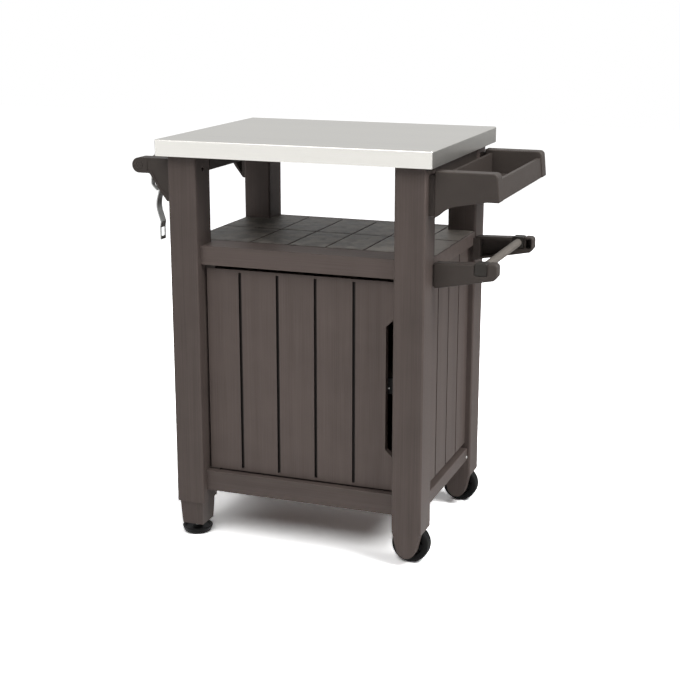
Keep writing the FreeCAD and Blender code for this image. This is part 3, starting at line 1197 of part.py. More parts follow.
def make_roller():
    body = new_body("towel_roller")
    axis = (SLOT_X, ROLLER_Z)
    inner = ARM_INNER
    turned = [("0", f"-{inner} - spigot_length"), ("spigot_radius", f"-{inner} - spigot_length"),
              ("spigot_radius", f"-{inner}"), ("roller_radius", f"-{inner}"),
              ("roller_radius", inner), ("spigot_radius", inner),
              ("spigot_radius", f"{inner} + spigot_length"), ("0", f"{inner} + spigot_length")]
    turn(body, "XY", turned, "Y_Axis")
    pitch = f"({inner}*2/(roller_grooves + 1))"
    first = f"({pitch} - {inner})"
    ring = body.newObject("PartDesign::Groove", "towel_roller_ring")
    shallow = rectangle("roller_radius - roller_groove_depth", "roller_radius + roller_groove",
                        f"{first} - roller_groove/2", f"{first} + roller_groove/2")
    ring.Profile = draw(body, "XY", [shallow], "0")
    ring.ReferenceAxis = (origin_item(body, "Y_Axis"), [""])
    ring.Angle = 360
    doc.recompute()
    repeat(body, ring, "Y_Axis", f"{pitch}*(roller_grooves - 1)", "roller_grooves")
    publish(body, "towel_roller", axis[0], "0", axis[1])


def make_roller_block(end):
    body = new_body(f"roller_block_{end}")
    inner, outer = ARM_INNER, ARM_OUTER
    half = "(slot_width/2 - block_play)"
    low = f"({SLOT_LOW} + block_play)"
    outline = rectangle(f"{SLOT_X} - {half}", f"{SLOT_X} + {half}", low, POST_TOP, "slot_round")
    grow(body, "XZ", [outline], *band(end, inner, outer))
    fillet(body, "block_edge", lambda middle, along: near(abs(middle.y), outer))
    bore = ("circle", SLOT_X, ROLLER_Z, "spigot_radius + running_play")
    carve(body, "XZ", [bore], *band(end, inner, f"{inner} + spigot_length + pin_play"))
    publish(body, f"roller_block_{end}")


make_worktop_sheet()
make_worktop_panel()
make_apron("apron_left", rectangle(*band("left", LEFT_IN, f"{LEFT_IN} + apron_thick"),
                                   f"-{LEG_BACK}", LEG_BACK), TOP_SCREWS[:2])
make_apron("apron_right", rectangle(f"{APRON_RIGHT} - apron_thick", APRON_RIGHT,
                                    f"-{LEG_BACK}", LEG_BACK), TOP_SCREWS[2:4])
make_apron("apron_rear", rectangle(f"-{LEFT_IN}", RIGHT_IN,
                                   f"{LEG_FRONT} - apron_thick", LEG_FRONT), TOP_SCREWS[4:])
make_worktop_screws()
for cart_end in ("front", "rear"):
    make_left_leg(cart_end)
    make_right_leg(cart_end)
    make_foot(cart_end)
    make_wheel(cart_end)
    make_long_rail(cart_end)
    make_handle_bracket(cart_end)
    make_rail_cap(cart_end)
    make_towel_arm(cart_end)
    make_roller_block(cart_end)
make_tiled_shelf()
for cart_side in ("left", "right"):
    make_side_rail(cart_side)
    make_side_panel(cart_side)
    make_ledge(cart_side)
make_cabinet_floor()
make_back_panel()
make_inner_shelf()
make_door()
make_strike_plate()
make_hinge("lower")
make_hinge("upper")
make_catch()
make_side_screws("bracket", "left")
make_side_screws("tray", "right")
make_side_screws("arm", "right")
make_handle_rail()
make_rail_bolts()
make_opener()
make_tray()
make_roller()

doc.recompute()
for item in doc.Objects:
    if "Invalid" in item.State or "Error" in item.State:
        raise ValueError(f"{item.Name} failed: {item.State}")
for piece in subparts:
    if piece.Shape.isNull() or not piece.Shape.isValid() or not piece.Shape.Solids:
        raise ValueError(f"{piece.Label} has no valid solid")

os.makedirs("parts", exist_ok=True)
for piece in subparts:
    piece.Shape.exportStep(f"parts/{piece.Label}.step")
    box = piece.Shape.BoundBox
    print(f"{piece.Label:22s} {box.XMin:8.1f} {box.XMax:8.1f} {box.YMin:8.1f} {box.YMax:8.1f} "
          f"{box.ZMin:7.1f} {box.ZMax:7.1f} {piece.Shape.Volume / 1000:8.1f} cm3 "
          f"{len(piece.Shape.Solids)}")
print(len(subparts), "pieces")
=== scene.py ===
# %% [markdown]
# # A grill cart, dressed for the camera
# The frame is already built: every leg, panel, wheel and hinge is a solid with its real size,
# and this script only loads it. What is left is what the eye reads first: the brushed steel
# top, the grain in the dark resin, the slate-like tiles, and small turned pieces that the
# solids keep plain.

import math

import bmesh
import bpy
import numpy as np
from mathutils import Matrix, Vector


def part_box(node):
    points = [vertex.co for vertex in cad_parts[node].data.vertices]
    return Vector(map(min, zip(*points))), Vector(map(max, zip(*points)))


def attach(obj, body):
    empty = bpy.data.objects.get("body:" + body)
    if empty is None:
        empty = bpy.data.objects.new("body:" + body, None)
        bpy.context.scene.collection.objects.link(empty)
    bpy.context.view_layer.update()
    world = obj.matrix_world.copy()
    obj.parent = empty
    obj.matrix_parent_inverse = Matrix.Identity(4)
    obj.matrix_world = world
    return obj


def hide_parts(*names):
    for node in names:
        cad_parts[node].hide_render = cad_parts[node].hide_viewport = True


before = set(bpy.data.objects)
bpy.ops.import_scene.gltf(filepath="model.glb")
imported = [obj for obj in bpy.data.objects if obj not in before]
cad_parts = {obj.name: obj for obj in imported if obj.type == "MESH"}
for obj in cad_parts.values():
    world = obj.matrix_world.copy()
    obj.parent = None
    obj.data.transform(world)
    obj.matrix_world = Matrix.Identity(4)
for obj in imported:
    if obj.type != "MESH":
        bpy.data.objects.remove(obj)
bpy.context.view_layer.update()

# %% [markdown]
# ## The camera
# A product photo is taken with a long lens from a few metres away, so that upright edges stay
# upright. The place and the lens below were solved from the straight edges of the legs and the
# worktop. The camera looks down by the pitch and is turned about the upright axis by the yaw.

# %% Place the camera
YAW, PITCH = 20.494, 14.661
EYE = (1.0674, -2.8663, 1.2288)
SENSOR, FOCAL = 36.0, 73.13
lens = bpy.data.cameras.new("photo_view")
lens.sensor_width, lens.lens = SENSOR, FOCAL
camera = bpy.data.objects.new("photo_view", lens)
camera.location = EYE
camera.rotation_euler = (math.radians(90 - PITCH), 0.0, math.radians(YAW))
bpy.context.scene.collection.objects.link(camera)
bpy.context.scene.camera = camera
bpy.context.scene.view_settings.view_transform = "Standard"
print("camera at", EYE)

# %% [markdown]
# ## Sums on sockets
# A finish is arithmetic on patterns: so much grain, times so much height, plus a little dust.
# In the shader editor each sum is a Math node and two wires. The class below lets Python write
# the same sum as an expression, and adds the nodes behind it.

# %% A wire that can be used in sums
class Wire:
    """One output socket of a tree. Sums with numbers or other wires add Math nodes."""

    def __init__(self, tree, socket):
        self.tree = tree
        self.socket = socket

    def math(self, operation, first, second):
        """One Math node, such as ADD, with both values or wires fed in."""
        return self.tree.node("Math", {"operation": operation}, {0: first, 1: second})

    def __add__(self, other):
        return self.math("ADD", self, other)

    def __sub__(self, other):
        return self.math("SUBTRACT", self, other)

    def __rsub__(self, other):
        return self.math("SUBTRACT", other, self)

    def __mul__(self, other):
        return self.math("MULTIPLY", self, other)

    __radd__ = __add__
    __rmul__ = __mul__


print("wires can be added, subtracted and multiplied")

# %% [markdown]
# ## Nodes from one method
# A node has a type, settings that are chosen first, and sockets that take a value or a wire.
# One method makes any node from these three, so that a finish reads as a list of what it is
# made of. A finish is such a tree with a Principled shader in it, and a few shorthands.

# %% Trees of nodes, and a finish built on one
class Tree:
    """Any tree of shader nodes. Other nodes than sums come from one method."""

    def __init__(self, tree):
        self.tree = tree

    def feed(self, socket, value):
        """Link a wire to a socket, or set the socket's own value."""
        if isinstance(value, Wire):
            self.tree.links.new(value.socket, socket)
        elif socket.type == "RGBA":
            socket.default_value = (*value, 1.0)
        else:
            socket.default_value = value

    def node(self, kind, settings=None, inputs=None, out=0):
        """Add a node: settings first, then the values or links of its sockets."""
        made = self.tree.nodes.new("ShaderNode" + kind)
        for key, value in (settings or {}).items():
            if key == "stops":
                for index, (position, shade) in enumerate(value):
                    ramp = made.color_ramp.elements
                    stop = ramp[index] if index < 2 else ramp.new(position)
                    stop.position = position
                    stop.color = (shade, shade, shade, 1.0)
            else:
                setattr(made, key, value)
        for key, value in (inputs or {}).items():
            self.feed(made.inputs[key], value)
        return Wire(self, made.outputs[out])

    def ray(self, *kinds):
        """1 for rays of these kinds, 0 for all others."""
        chosen = self.node("LightPath", out=kinds[0])
        for kind in kinds[1:]:
            other = self.node("LightPath", out=kind)
            chosen = self.node("Math", {"operation": "MAXIMUM"}, {0: chosen, 1: other})
        return chosen


class Finish(Tree):
    """A material built around one Principled shader."""

    def __init__(self, name):
        self.material = bpy.data.materials.new(name)
        self.material.use_nodes = True
        super().__init__(self.material.node_tree)
        self.shader = self.tree.nodes["Principled BSDF"]
        self.place = self.node("TexCoord", out="Object")

    def stretched(self, scale):
        """The place on the piece, scaled along each axis: a large number packs a pattern."""
        return self.node("Mapping", {}, {"Vector": self.place, "Scale": scale})

    def noise(self, where, scale, detail, roughness=0.5):
        """Clouds between 0 and 1, that many to the metre."""
        return self.node("TexNoise", {}, {"Vector": where, "Scale": scale, "Detail": detail,
                                          "Roughness": roughness}, out="Fac")

    def ramp(self, value, *stops):
        """A value stretched between stops of (place, grey)."""
        return self.node("ValToRGB", {"stops": stops}, {"Fac": value})

    def blend(self, amount, low, high):
        """A colour between two: low where amount is 0, high where it is 1.

        A Mix node has sockets for each kind of value: 6, 7 and its output 2 are for colours.
        """
        return self.node("Mix", {"data_type": "RGBA"}, {"Factor": amount, 6: low, 7: high}, out=2)

    def set(self, **values):
        """Set or link the shader's sockets: base_color is its Base Color, and so on."""
        for key, value in values.items():
            name = key.replace("_", " ").title().replace("Ior", "IOR")
            self.feed(self.shader.inputs[name], value)
        return self

    def bump(self, height, depth):
        """Relief of that depth in metres, from a height between 0 and 1."""
        relief = self.node("Bump", {}, {"Height": height, "Distance": depth, "Strength": 1.0})
        self.feed(self.shader.inputs["Normal"], relief)
        return self


def shades(colour, *levels):
    """The colour at each level of brightness: every channel times the level."""
    return [tuple(value * level for value in colour) for level in levels]


print("finishes are built from wires")

# %% [markdown]
# ## The resin
# The legs, rails and planks are moulded from one dark brown resin, whose mould is brushed so
# that it reads as wood. Up close that is thousands of shallow streaks along each board. Noise
# that is packed tightly across the board and drawn out along it gives the streaks, and the
# same streaks lift the surface, darken it and change its gloss, because on the real piece they
# are one thing.

# %% Brushed resin along any axis
UMBER, SHEEN = (0.112, 0.088, 0.079), 0.20
# The fourth number is the share of colour left where shade is painted in the door's grooves.
TIGHT, DRAWN, BOARD, GROOVE_SHADE_LEVEL, STREAK_DEPTH = 420.0, 5.0, 9, 0.12, 0.00022
ALONG = {"z": (TIGHT, TIGHT, DRAWN), "x": (DRAWN, TIGHT, TIGHT), "y": (TIGHT, DRAWN, TIGHT)}


def resin(name, colour, grain, groove_shade=None):
    """Streaks along one axis, cloudy patches 8 cm wide, and specks under half a millimetre.

    The tone is 0.45 streaks + 0.30 boards + 0.25 patches, spread over a fifth either way of
    the colour. Where the groove mask is 1, the colour falls to an eighth, as painted shade.
    The roughness is a half on average: 0.37 + 0.16 streaks + 0.10 patches. The relief is
    0.75 streaks + 0.25 specks.
    """
    made = Finish(name)
    streaks = made.noise(made.stretched(ALONG[grain]), 1.0, 4.0, 0.6)
    boards = made.noise(made.stretched(tuple(value / BOARD for value in ALONG[grain])), 1.0, 2.0)
    patches = made.noise(made.place, 12.0, 2.0)
    specks = made.noise(made.place, 2200.0, 1.0)
    tone = streaks * 0.45 + boards * 0.30 + patches * 0.25
    dark, light, shaded_colour = shades(colour, 0.8, 1.2, GROOVE_SHADE_LEVEL)
    shade = made.blend(made.ramp(tone, (0.32, 0.0), (0.68, 1.0)), dark, light)
    # Painted shade: the groove mask takes the colour down to an eighth.
    if groove_shade:
        shade = made.blend(groove_shade(made), shade, shaded_colour)
    made.set(base_color=shade, roughness=streaks * 0.16 + patches * 0.10 + 0.37,
             specular_ior_level=SHEEN)
    return made.bump(streaks * 0.75 + specks * 0.25, STREAK_DEPTH).material


finishes = {f"resin_{axis}": resin(f"resin_{axis}", UMBER, axis) for axis in "xyz"}
PANEL_UMBER, = shades(UMBER, 1.18)
finishes["panel_z"] = resin("panel_z", PANEL_UMBER, "z")
finishes["panel_x"] = resin("panel_x", PANEL_UMBER, "x")
print("resin finishes:", sorted(finishes))

# %% [markdown]
# ## Painted shade in the door's grooves
# The four grooves between the door's planks lie deep in shade, and their colour is painted
# nearly black down to their lips, as painted shade. The grooves are evenly spaced, so one sum
# finds them all: how far a place is from the nearest whole number of pitches. Two limits keep
# the painted shade off the door's back and off its upper and lower ends.

# %% Painted shade in the grooves
GROOVE_FIRST, GROOVE_PITCH, GROOVES, GROOVE_LIP = -0.1611, 0.0877, 4, 0.0038
GROOVE_BACK, DOOR_MIDDLE, GROOVE_HALF_LENGTH = -0.187, 0.389, 0.2245
LIP_FADE, BACK_FADE, END_FADE = 0.0008, 0.002, 0.001


def painted_groove_shade(made):
    """1 in the door's grooves: the distance to the nearest one is |t - round(t)| pitches."""
    x, y, z = (made.node("SeparateXYZ", {}, {"Vector": made.place}, out=axis) for axis in "XYZ")
    t = (x - GROOVE_FIRST) * (1 / GROOVE_PITCH)
    nearest = made.node("Clamp", {}, {"Value": made.node("Math", {"operation": "ROUND"}, {0: t}),
                                      "Min": 0.0, "Max": GROOVES - 1.0})
    away = made.node("Math", {"operation": "ABSOLUTE"}, {0: (t - nearest) * GROOVE_PITCH})
    high = made.node("Math", {"operation": "ABSOLUTE"}, {0: z - DOOR_MIDDLE})

    def below(value, edge, fade):
        """1 where the value is under the edge, fading out just before it."""
        return made.node("MapRange", {}, {"Value": value, "From Min": edge - fade,
                                          "From Max": edge, "To Min": 1.0, "To Max": 0.0})

    return (below(away, GROOVE_LIP, LIP_FADE) * below(y, GROOVE_BACK, BACK_FADE)
            * below(high, GROOVE_HALF_LENGTH, END_FADE))


# The grooves and their lips are painted nearly black as painted shade.
finishes["door_z"] = resin("door_z", PANEL_UMBER, "z", groove_shade=painted_groove_shade)
print("painted_shade in", GROOVES, "grooves")

# %% [markdown]
# ## Moulded resin without grain
# Tray, brackets and arms are small mouldings with a fine spark-eroded skin: no streaks, only a
# tight pebble that breaks up the gloss. The same recipe in near black makes hubs, pads and
# caps, duller so that they stay black under the lamps, and a lighter one the towel roller.

# %% Pebbled resin
def pebbled(name, colour, rough=0.5, size=900.0, depth=0.00012, sheen=SHEEN):
    """Pebbles about a millimetre wide over patches of 5 cm: 0.4 pebble + 0.6 patches.

    rough is the roughness on average, and size the number of pebbles to the metre.
    """
    made = Finish(name)
    pebble = made.noise(made.place, size, 2.0, 0.55)
    patches = made.noise(made.place, 18.0, 3.0)
    dark, light = shades(colour, 0.8, 1.2)
    made.set(base_color=made.blend(pebble * 0.4 + patches * 0.6, dark, light),
             roughness=pebble * 0.12 + patches * 0.12 + (rough - 0.12), specular_ior_level=sheen)
    return made.bump(pebble, depth).material


BLACK, DULL = (0.008, 0.008, 0.008), 0.10
finishes["moulded"] = pebbled("moulded", (0.062, 0.051, 0.045))
finishes["black"] = pebbled("black", BLACK, 0.42, sheen=DULL)
finishes["rubber"] = pebbled("rubber", (0.010, 0.010, 0.010), 0.55, 500.0, 0.0002, DULL)
finishes["roller"] = pebbled("roller", (0.190, 0.170, 0.150))
finishes["dark_block"] = pebbled("dark_block", (0.036, 0.032, 0.028))
print("pebbled finishes:", len(finishes))

# %% [markdown]
# ## Brushed steel
# A stainless worktop is brushed along its length by a belt. Each scratch is a micron deep, so
# it hardly shades; what it does is smear the reflection across the brushing. The metal is
# nearly white, its roughness swings from scratch to scratch, and a very low relief adds the
# rest. Wide, faint bands stand for the unevenness of the belt.

# %% Steel, brushed or plated
BELT, SCRATCH_DEPTH = 40, 0.00002


def steel(name, colour, across, rough=0.32, swing=0.16):
    """Scratches packed across the sheet, drawn out along it, over bands 40 times as wide.

    rough is the roughness on average, and swing its change from scratch to scratch.
    """
    made = Finish(name)
    scratches = made.noise(made.stretched(across), 1.0, 3.0, 0.65)
    bands = made.noise(made.stretched(tuple(value / BELT for value in across)), 1.0, 2.0)
    dark, light = shades(colour, 0.86, 1.0)
    made.set(metallic=1.0, base_color=made.blend(scratches * 0.5 + bands * 0.5, dark, light),
             roughness=scratches * swing + bands * 0.08 + (rough - swing / 2 - 0.04))
    return made.bump(scratches, SCRATCH_DEPTH).material


finishes["worktop"] = steel("worktop", (0.80, 0.785, 0.742), (3.0, 900.0, 900.0))
finishes["opener"] = steel("opener", (0.50, 0.50, 0.49), (700.0, 700.0, 12.0), 0.34)
finishes["zinc"] = steel("zinc", (0.60, 0.60, 0.58), (300.0, 300.0, 300.0), 0.36, 0.1)
finishes["magnet"] = steel("magnet", (0.10, 0.10, 0.11), (200.0, 200.0, 200.0), 0.5, 0.1)
print("metal finishes ready")

# %% [markdown]
# ## Slate
# The shelf is moulded to look like cleft slate. Layers break away in flakes, so the tone runs
# in long ragged clouds with a few pale edges. A noise whose position is itself pushed about by
# a slower noise gives the clouds, and a second, finer one the grit. The right half, where the
# light falls in, is painted lighter and lighter towards its end, as painted light.

# %% Slate-like resin
SLATE_SHEEN, PUSH, PAINTED_LIGHT_FROM, PAINTED_LIGHT_TO, FLAKE_DEPTH = 0.22, 0.05, 0.0, 0.25, 0.0005


def slate(name, colour):
    """Warped clouds about 4 cm long for the flakes, fine grit on top, painted light along X."""
    made = Finish(name)
    drift = made.node("TexNoise", {}, {"Vector": made.place, "Scale": 9.0, "Detail": 2.0},
                      out="Color")
    pushed = made.node("VectorMath", {"operation": "MULTIPLY_ADD"},
                       {0: drift, 1: (PUSH,) * 3, 2: made.place})
    flakes = made.noise(pushed, 26.0, 5.0, 0.6)
    grit = made.noise(made.place, 700.0, 2.0)
    pale = made.ramp(flakes, (0.40, 0.0), (0.60, 1.0))
    dark, light = shades(colour, 0.55, 2.4)
    # Painted light: the colour grows lighter towards +X, where the right-hand lamp falls in.
    across = made.node("SeparateXYZ", {}, {"Vector": made.place}, out="X")
    painted_light = made.node("MapRange", {}, {"Value": across, "From Min": PAINTED_LIGHT_FROM,
                                          "From Max": PAINTED_LIGHT_TO})
    made.set(base_color=made.blend(pale * 0.55 + grit * 0.14 + painted_light * 0.70, dark, light),
             roughness=flakes * 0.2 + grit * 0.1 + 0.32, specular_ior_level=SLATE_SHEEN)
    return made.bump(flakes * 0.7 + grit * 0.3, FLAKE_DEPTH).material


finishes["slate"] = slate("slate", (0.165, 0.150, 0.134))
print("slate ready")

# %% [markdown]
# ## Which finish goes where
# The solids arrive without looks. Long pieces get the resin whose streaks run along them, as
# the mould maker would brush them, and the rest follows from what each piece is made of, save
# the side aprons, whose darker moulded finish is painted shade under the top. A solid whose
# place a piece takes further down is dressed as well, so that none is ever bare.

# %% Dress the solids
WEAR = {
    "worktop": ["worktop_sheet"],
    "resin_z": ["leg_front_left", "leg_front_right", "leg_rear_left", "leg_rear_right",
                "side_panel_left", "side_panel_right"],
    "panel_z": ["back_panel"],
    "door_z": ["door"],
    "panel_x": ["tiled_shelf", "inner_shelf"],
    "resin_x": ["front_rail", "rear_rail", "apron_rear", "cabinet_floor"],
    "resin_y": ["side_rail_left", "side_rail_right", "handle_rail", "shelf_ledge_left",
                "shelf_ledge_right"],
    # apron_left and apron_right get the darker finish as painted shade under the top.
    "moulded": ["condiment_tray", "towel_arm_front", "towel_arm_rear", "handle_bracket_front",
                "handle_bracket_rear", "hinge_bracket_lower", "hinge_bracket_upper",
                "worktop_panel", "apron_left", "apron_right"],
    "dark_block": ["roller_block_front", "roller_block_rear", "rail_cap_front",
                   "rail_cap_rear"],
    "black": ["wheel_hub_front", "wheel_hub_rear", "foot_pad_front", "foot_pad_rear",
              "axle_cap_front", "axle_cap_rear", "foot_insert_front", "foot_insert_rear",
              "catch_housing"],
    "rubber": ["tyre_front", "tyre_rear"],
    "roller": ["towel_roller"],
    "opener": ["bottle_opener"],
    "zinc": ["axle_front", "axle_rear", "foot_stem_front", "foot_stem_rear", "rail_bolts",
             "bracket_screws", "tray_screws", "arm_screws", "worktop_screws",
             "hinge_pin_lower", "hinge_pin_upper", "strike_plate"],
    "magnet": ["catch_magnet"],
}
for look, names in WEAR.items():
    for name in names:
        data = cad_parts[name].data
        data.materials.clear()
        data.materials.append(finishes[look])
bare = set(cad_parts) - {name for names in WEAR.values() for name in names}
print("solids without a finish:", sorted(bare))

# %% [markdown]
# ## Surfaces from grids
# Each piece made here is a grid of points, worked out as whole numpy arrays. Most are turned
# parts, and a turned part is an outline carried round an axle, as on a lathe. The outline is
# drawn with sharp corners first and then softened, because no moulded corner is sharp, and it
# is divided evenly so that fine relief can be added to it before it is turned.

# %% From points to a piece
MM = 0.001
WELD = 0.002 * MM


def cells(index):
    """Corner numbers of every cell of a grid of point numbers."""
    corners = (index[:-1, :-1], index[1:, :-1], index[1:, 1:], index[:-1, 1:])
    return np.stack(corners, axis=-1).reshape(-1, 4)


def wrapped(index, ring):
    """Repeat a grid's first row after its last, and a ring's first column too, to close it."""
    index = np.concatenate([index, index[:1]], axis=0)
    return np.concatenate([index, index[:, :1]], axis=1) if ring else index


def numbered(points):
    """The grid of point numbers that belongs to a grid of points."""
    return np.arange(points.shape[0] * points.shape[1]).reshape(points.shape[:2])


def build(name, shells, look, body, slot, *nodes, sharp=32.0):
    """One object from closed shells of (points, faces), riding on a body.

    It takes the place of the nodes, if any are named. Edges over the sharp angle stay sharp.
    """
    starts = np.cumsum([0] + [len(points.reshape(-1, 3)) for points, faces in shells])
    points = np.concatenate([points.reshape(-1, 3) for points, faces in shells])
    faces = np.concatenate([faces + start for (_, faces), start in zip(shells, starts)])
    data = bpy.data.meshes.new(name)
    data.from_pydata(points.tolist(), [], faces.tolist())
    tidy = bmesh.new()
    tidy.from_mesh(data)
    bmesh.ops.remove_doubles(tidy, verts=tidy.verts, dist=WELD)
    bmesh.ops.recalc_face_normals(tidy, faces=tidy.faces)
    tidy.to_mesh(data)
    tidy.free()
    data.shade_smooth()
    data.set_sharp_from_angle(angle=math.radians(sharp))
    data.materials.append(finishes[look])
    made = bpy.data.objects.new(name, data)
    bpy.context.scene.collection.objects.link(made)
    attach(made, body)
    if nodes:
        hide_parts(*nodes)
    return made


def middle(node):
    """Centre and half sizes of a node's box, in metres."""
    low, high = (np.array(corner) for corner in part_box(node))
    return (low + high) / 2, (high - low) / 2


print("grids can become pieces, welded within", WELD, "m")


# %% Outlines and turning
def smooth(value, low, high):
    """0 below low, 1 above high, and between them 3t^2 - 2t^3."""
    share = np.clip((value - low) / (high - low), 0.0, 1.0)
    return share * share * (3 - 2 * share)


def softened(corners, radii, count):
    """An outline with its corners rounded, divided into that many even steps.

    Each corner C becomes the parabola (1-t)^2 A + 2t(1-t) C + t^2 B, where A and B lie one
    radius away from it along its two sides, or half a side if that is shorter.
    """
    corners = np.array(corners, float)
    radii = np.array(radii, float)[:, None]
    t = np.linspace(0, 1, 7)[:, None, None]

    def beside(step):
        """The point one radius from each corner, towards the corner before or after it."""
        side = np.roll(corners, step, axis=0) - corners
        length = np.linalg.norm(side, axis=1, keepdims=True)
        return corners + side * np.minimum(radii / np.maximum(length, 1e-9), 0.5)

    path = (1 - t) ** 2 * beside(1) + 2 * t * (1 - t) * corners + t ** 2 * beside(-1)
    path = path.swapaxes(0, 1).reshape(-1, 2)
    run = np.concatenate([[0.0], np.cumsum(np.linalg.norm(np.diff(path, axis=0), axis=1))])
    even = np.union1d(np.linspace(0, run[-1], count), run)
    return np.stack([np.interp(even, run, path[:, k]) for k in (0, 1)], axis=1)


def angles(steps):
    """Even angles round a whole turn, as a column."""
    return np.arange(steps)[:, None] * (2 * math.pi / steps)


def each_angle(outline, steps):
    """A copy of the outline for every angle, so that each can be changed on its own."""
    return np.broadcast_to(outline, (steps, *outline.shape)).copy()


def turned(outline, centre, axis, steps, ring=False):
    """Carry (radius, height) round an axis: across = radius * (cos a, sin a), along = height.

    The outline may differ from angle to angle: it is (points, 2) or (steps, points, 2).
    A ring's outline closes on itself; any other starts and ends on the axis.
    """
    angle = angles(steps)
    outline = np.broadcast_to(outline, (steps, *outline.shape[-2:]))
    across = outline[..., 0] * np.cos(angle), outline[..., 0] * np.sin(angle)
    order = {"y": (0, 2, 1), "z": (0, 1, 2)}[axis]
    parts = [across[0], across[1], outline[..., 1]]
    points = np.stack([parts[order.index(k)] for k in range(3)], axis=-1) * MM + centre
    return points, cells(wrapped(numbered(points), ring))


print("grids can be turned and closed")

# %% [markdown]
# ## Tyres
# Each wheel is a hard hub with a softer tyre shrunk over it. The tyre could be a torus, but a
# real one is turned from an outline with a flat tread and round shoulders. Two fine grooves
# run round the tread, and a parting line between them shows where the halves of the mould
# meet. The outlines here and below are pairs of (radius, height along the axle) in mm.

# %% Outline of a tyre
TREAD_GROOVE, GROOVE_WIDTH, GROOVE_DEPTH = 4.5, 0.55, 0.9
PARTING_WIDTH, PARTING_RISE = 0.35, 0.15


def tyre_outline(radius, seat, side):
    """A ring from its seat out to its radius: a groove is a bell exp(-(h/w)^2) cut into it."""
    tread = softened([(seat, -side), (radius, -side), (radius, side), (seat, side)],
                     [0.6, 6.5, 6.5, 0.6], 150)
    on_tread = smooth(tread[:, 0], radius - 1.5, radius)
    grooves = sum(np.exp(-((tread[:, 1] - place) / GROOVE_WIDTH) ** 2)
                  for place in (-TREAD_GROOVE, TREAD_GROOVE))
    parting = np.exp(-(tread[:, 1] / PARTING_WIDTH) ** 2)
    tread[:, 0] -= on_tread * (GROOVE_DEPTH * grooves - PARTING_RISE * (parting - 1))
    return tread


print("tyre grooves:", GROOVE_DEPTH, "mm deep")

# %% [markdown]
# ## Hubs
# A hub is a thin web stiffened by ribs, because a thick disc would sink as it cools. Its
# outline rises over each rib, so it changes with the angle, and the ribs are part of the one
# skin instead of eight blocks pushed into it. A small domed cap closes the axle's end.

# %% Outlines of a hub and a cap
RIBS, RIB_HALF, RIB_RISE, HUB_STEPS = 8, 1.3, 3.6, 192
BORE, BOSS, WEB, RIM_WALL, RIM_STEP = 5.2, 11.0, 4.0, 4.0, 2.0


def hub_outlines(seat, side):
    """The hub's outline at every angle.

    With a the angle from the nearest rib, the web rises where r |sin a| is small.
    """
    rim, lip = seat - RIM_WALL, side - RIM_STEP
    hub = softened([(BORE, -side), (BOSS, -side), (BOSS + 1, -WEB), (rim, -WEB), (rim, -lip),
                    (seat, -lip), (seat, lip), (rim, lip), (rim, WEB), (BOSS + 1, WEB),
                    (BOSS, side), (BORE, side)],
                   [0.8, 1.5, 2.0, 2.0, 1.0, 0.8, 0.8, 1.0, 2.0, 2.0, 1.5, 0.8], 190)
    share = np.mod(angles(HUB_STEPS) * RIBS / (2 * math.pi) + 0.5, 1.0) - 0.5
    beside_rib = np.abs(hub[:, 0] * np.sin(share * 2 * math.pi / RIBS))
    rib = 1 - smooth(beside_rib, RIB_HALF - 0.5, RIB_HALF + 0.9)
    on_web = smooth(hub[:, 0], BOSS - 1.0, BOSS + 2.0) * (1 - smooth(hub[:, 0], rim - 1.5, rim))
    on_web = on_web * (np.abs(hub[:, 1]) < WEB + 3.0)
    ribbed = each_angle(hub, HUB_STEPS)
    ribbed[..., 1] += np.sign(hub[:, 1]) * rib * on_web * RIB_RISE
    return ribbed


def cap_outline(deep):
    """A domed cap on the axle's end, with a shallow dimple in its middle."""
    return softened([(0, -deep), (5.1, -deep), (9, -deep), (9, 0.2 * deep), (6.5, deep),
                     (2.6, deep), (2.0, deep - 0.8), (0, deep - 0.8)],
                    [0, 0, 0.5, 1.6, 1.4, 0.5, 0.5, 0], 70)


print("hubs with", RIBS, "ribs each")

# %% Turn the wheels
for end in ("front", "rear"):
    centre, half = middle(f"tyre_{end}")
    radius, side = half[2] / MM, half[1] / MM
    seat = middle(f"wheel_hub_{end}")[1][2] / MM
    tyre = turned(tyre_outline(radius, seat, side), centre, "y", 144, ring=True)
    build(f"wheel_tyre_{end}", [tyre], "rubber", f"wheel_{end}", "tyre_rubber", f"tyre_{end}")
    hub = turned(hub_outlines(seat, side), centre, "y", HUB_STEPS, ring=True)
    build(f"wheel_centre_{end}", [hub], "black", f"wheel_{end}", "black_resin",
          f"wheel_hub_{end}")
    centre, half = middle(f"axle_cap_{end}")
    dome = turned(cap_outline(half[1] / MM), centre, "y", 64)
    build(f"axle_dome_{end}", [dome], "black", "cart", "black_resin", f"axle_cap_{end}")
print("wheels: radius", round(radius, 1), "mm, width", round(2 * side, 1), "mm")

# %% [markdown]
# ## Levelling feet
# Under each left leg a black pad sits on a threaded stem. The pad is a shallow dish with a
# rolled rim and a boss round the stem. A thread is a turned part whose radius also climbs: it
# depends on height minus the share of a turn, so the ridge rises by one pitch per turn. The
# nut under the leg is turned in six steps, which makes it a hexagon.

# %% Outlines of a foot
DISH_DEPTH, SOCKET, SOCKET_FLOOR = 4.5, 5.3, 6
THREAD_PITCH, THREAD_DEPTH, STEM_RADIUS, RUN_OUT, STEM_STEPS = 2.5, 0.75, 5.0, 1.5, 48
NUT_UNDERSIDE, NUT_HIGH, NUT_RADIUS, CHAMFER = 20.7, 5, 9, 0.6


def pad_outline(radius, top):
    """A dish with a rolled rim, and a boss with a blind socket for the stem's end."""
    return softened([(0, 0), (radius - 5, 0), (radius, top), (radius - 4.5, top),
                     (radius - 7.5, top - DISH_DEPTH), (12, top - DISH_DEPTH), (10, top),
                     (SOCKET, top), (SOCKET, SOCKET_FLOOR), (0, SOCKET_FLOOR)],
                    [0, 5, 2.2, 1.6, 1.2, 1.2, 1.0, 0.4, 0.3, 0], 120)


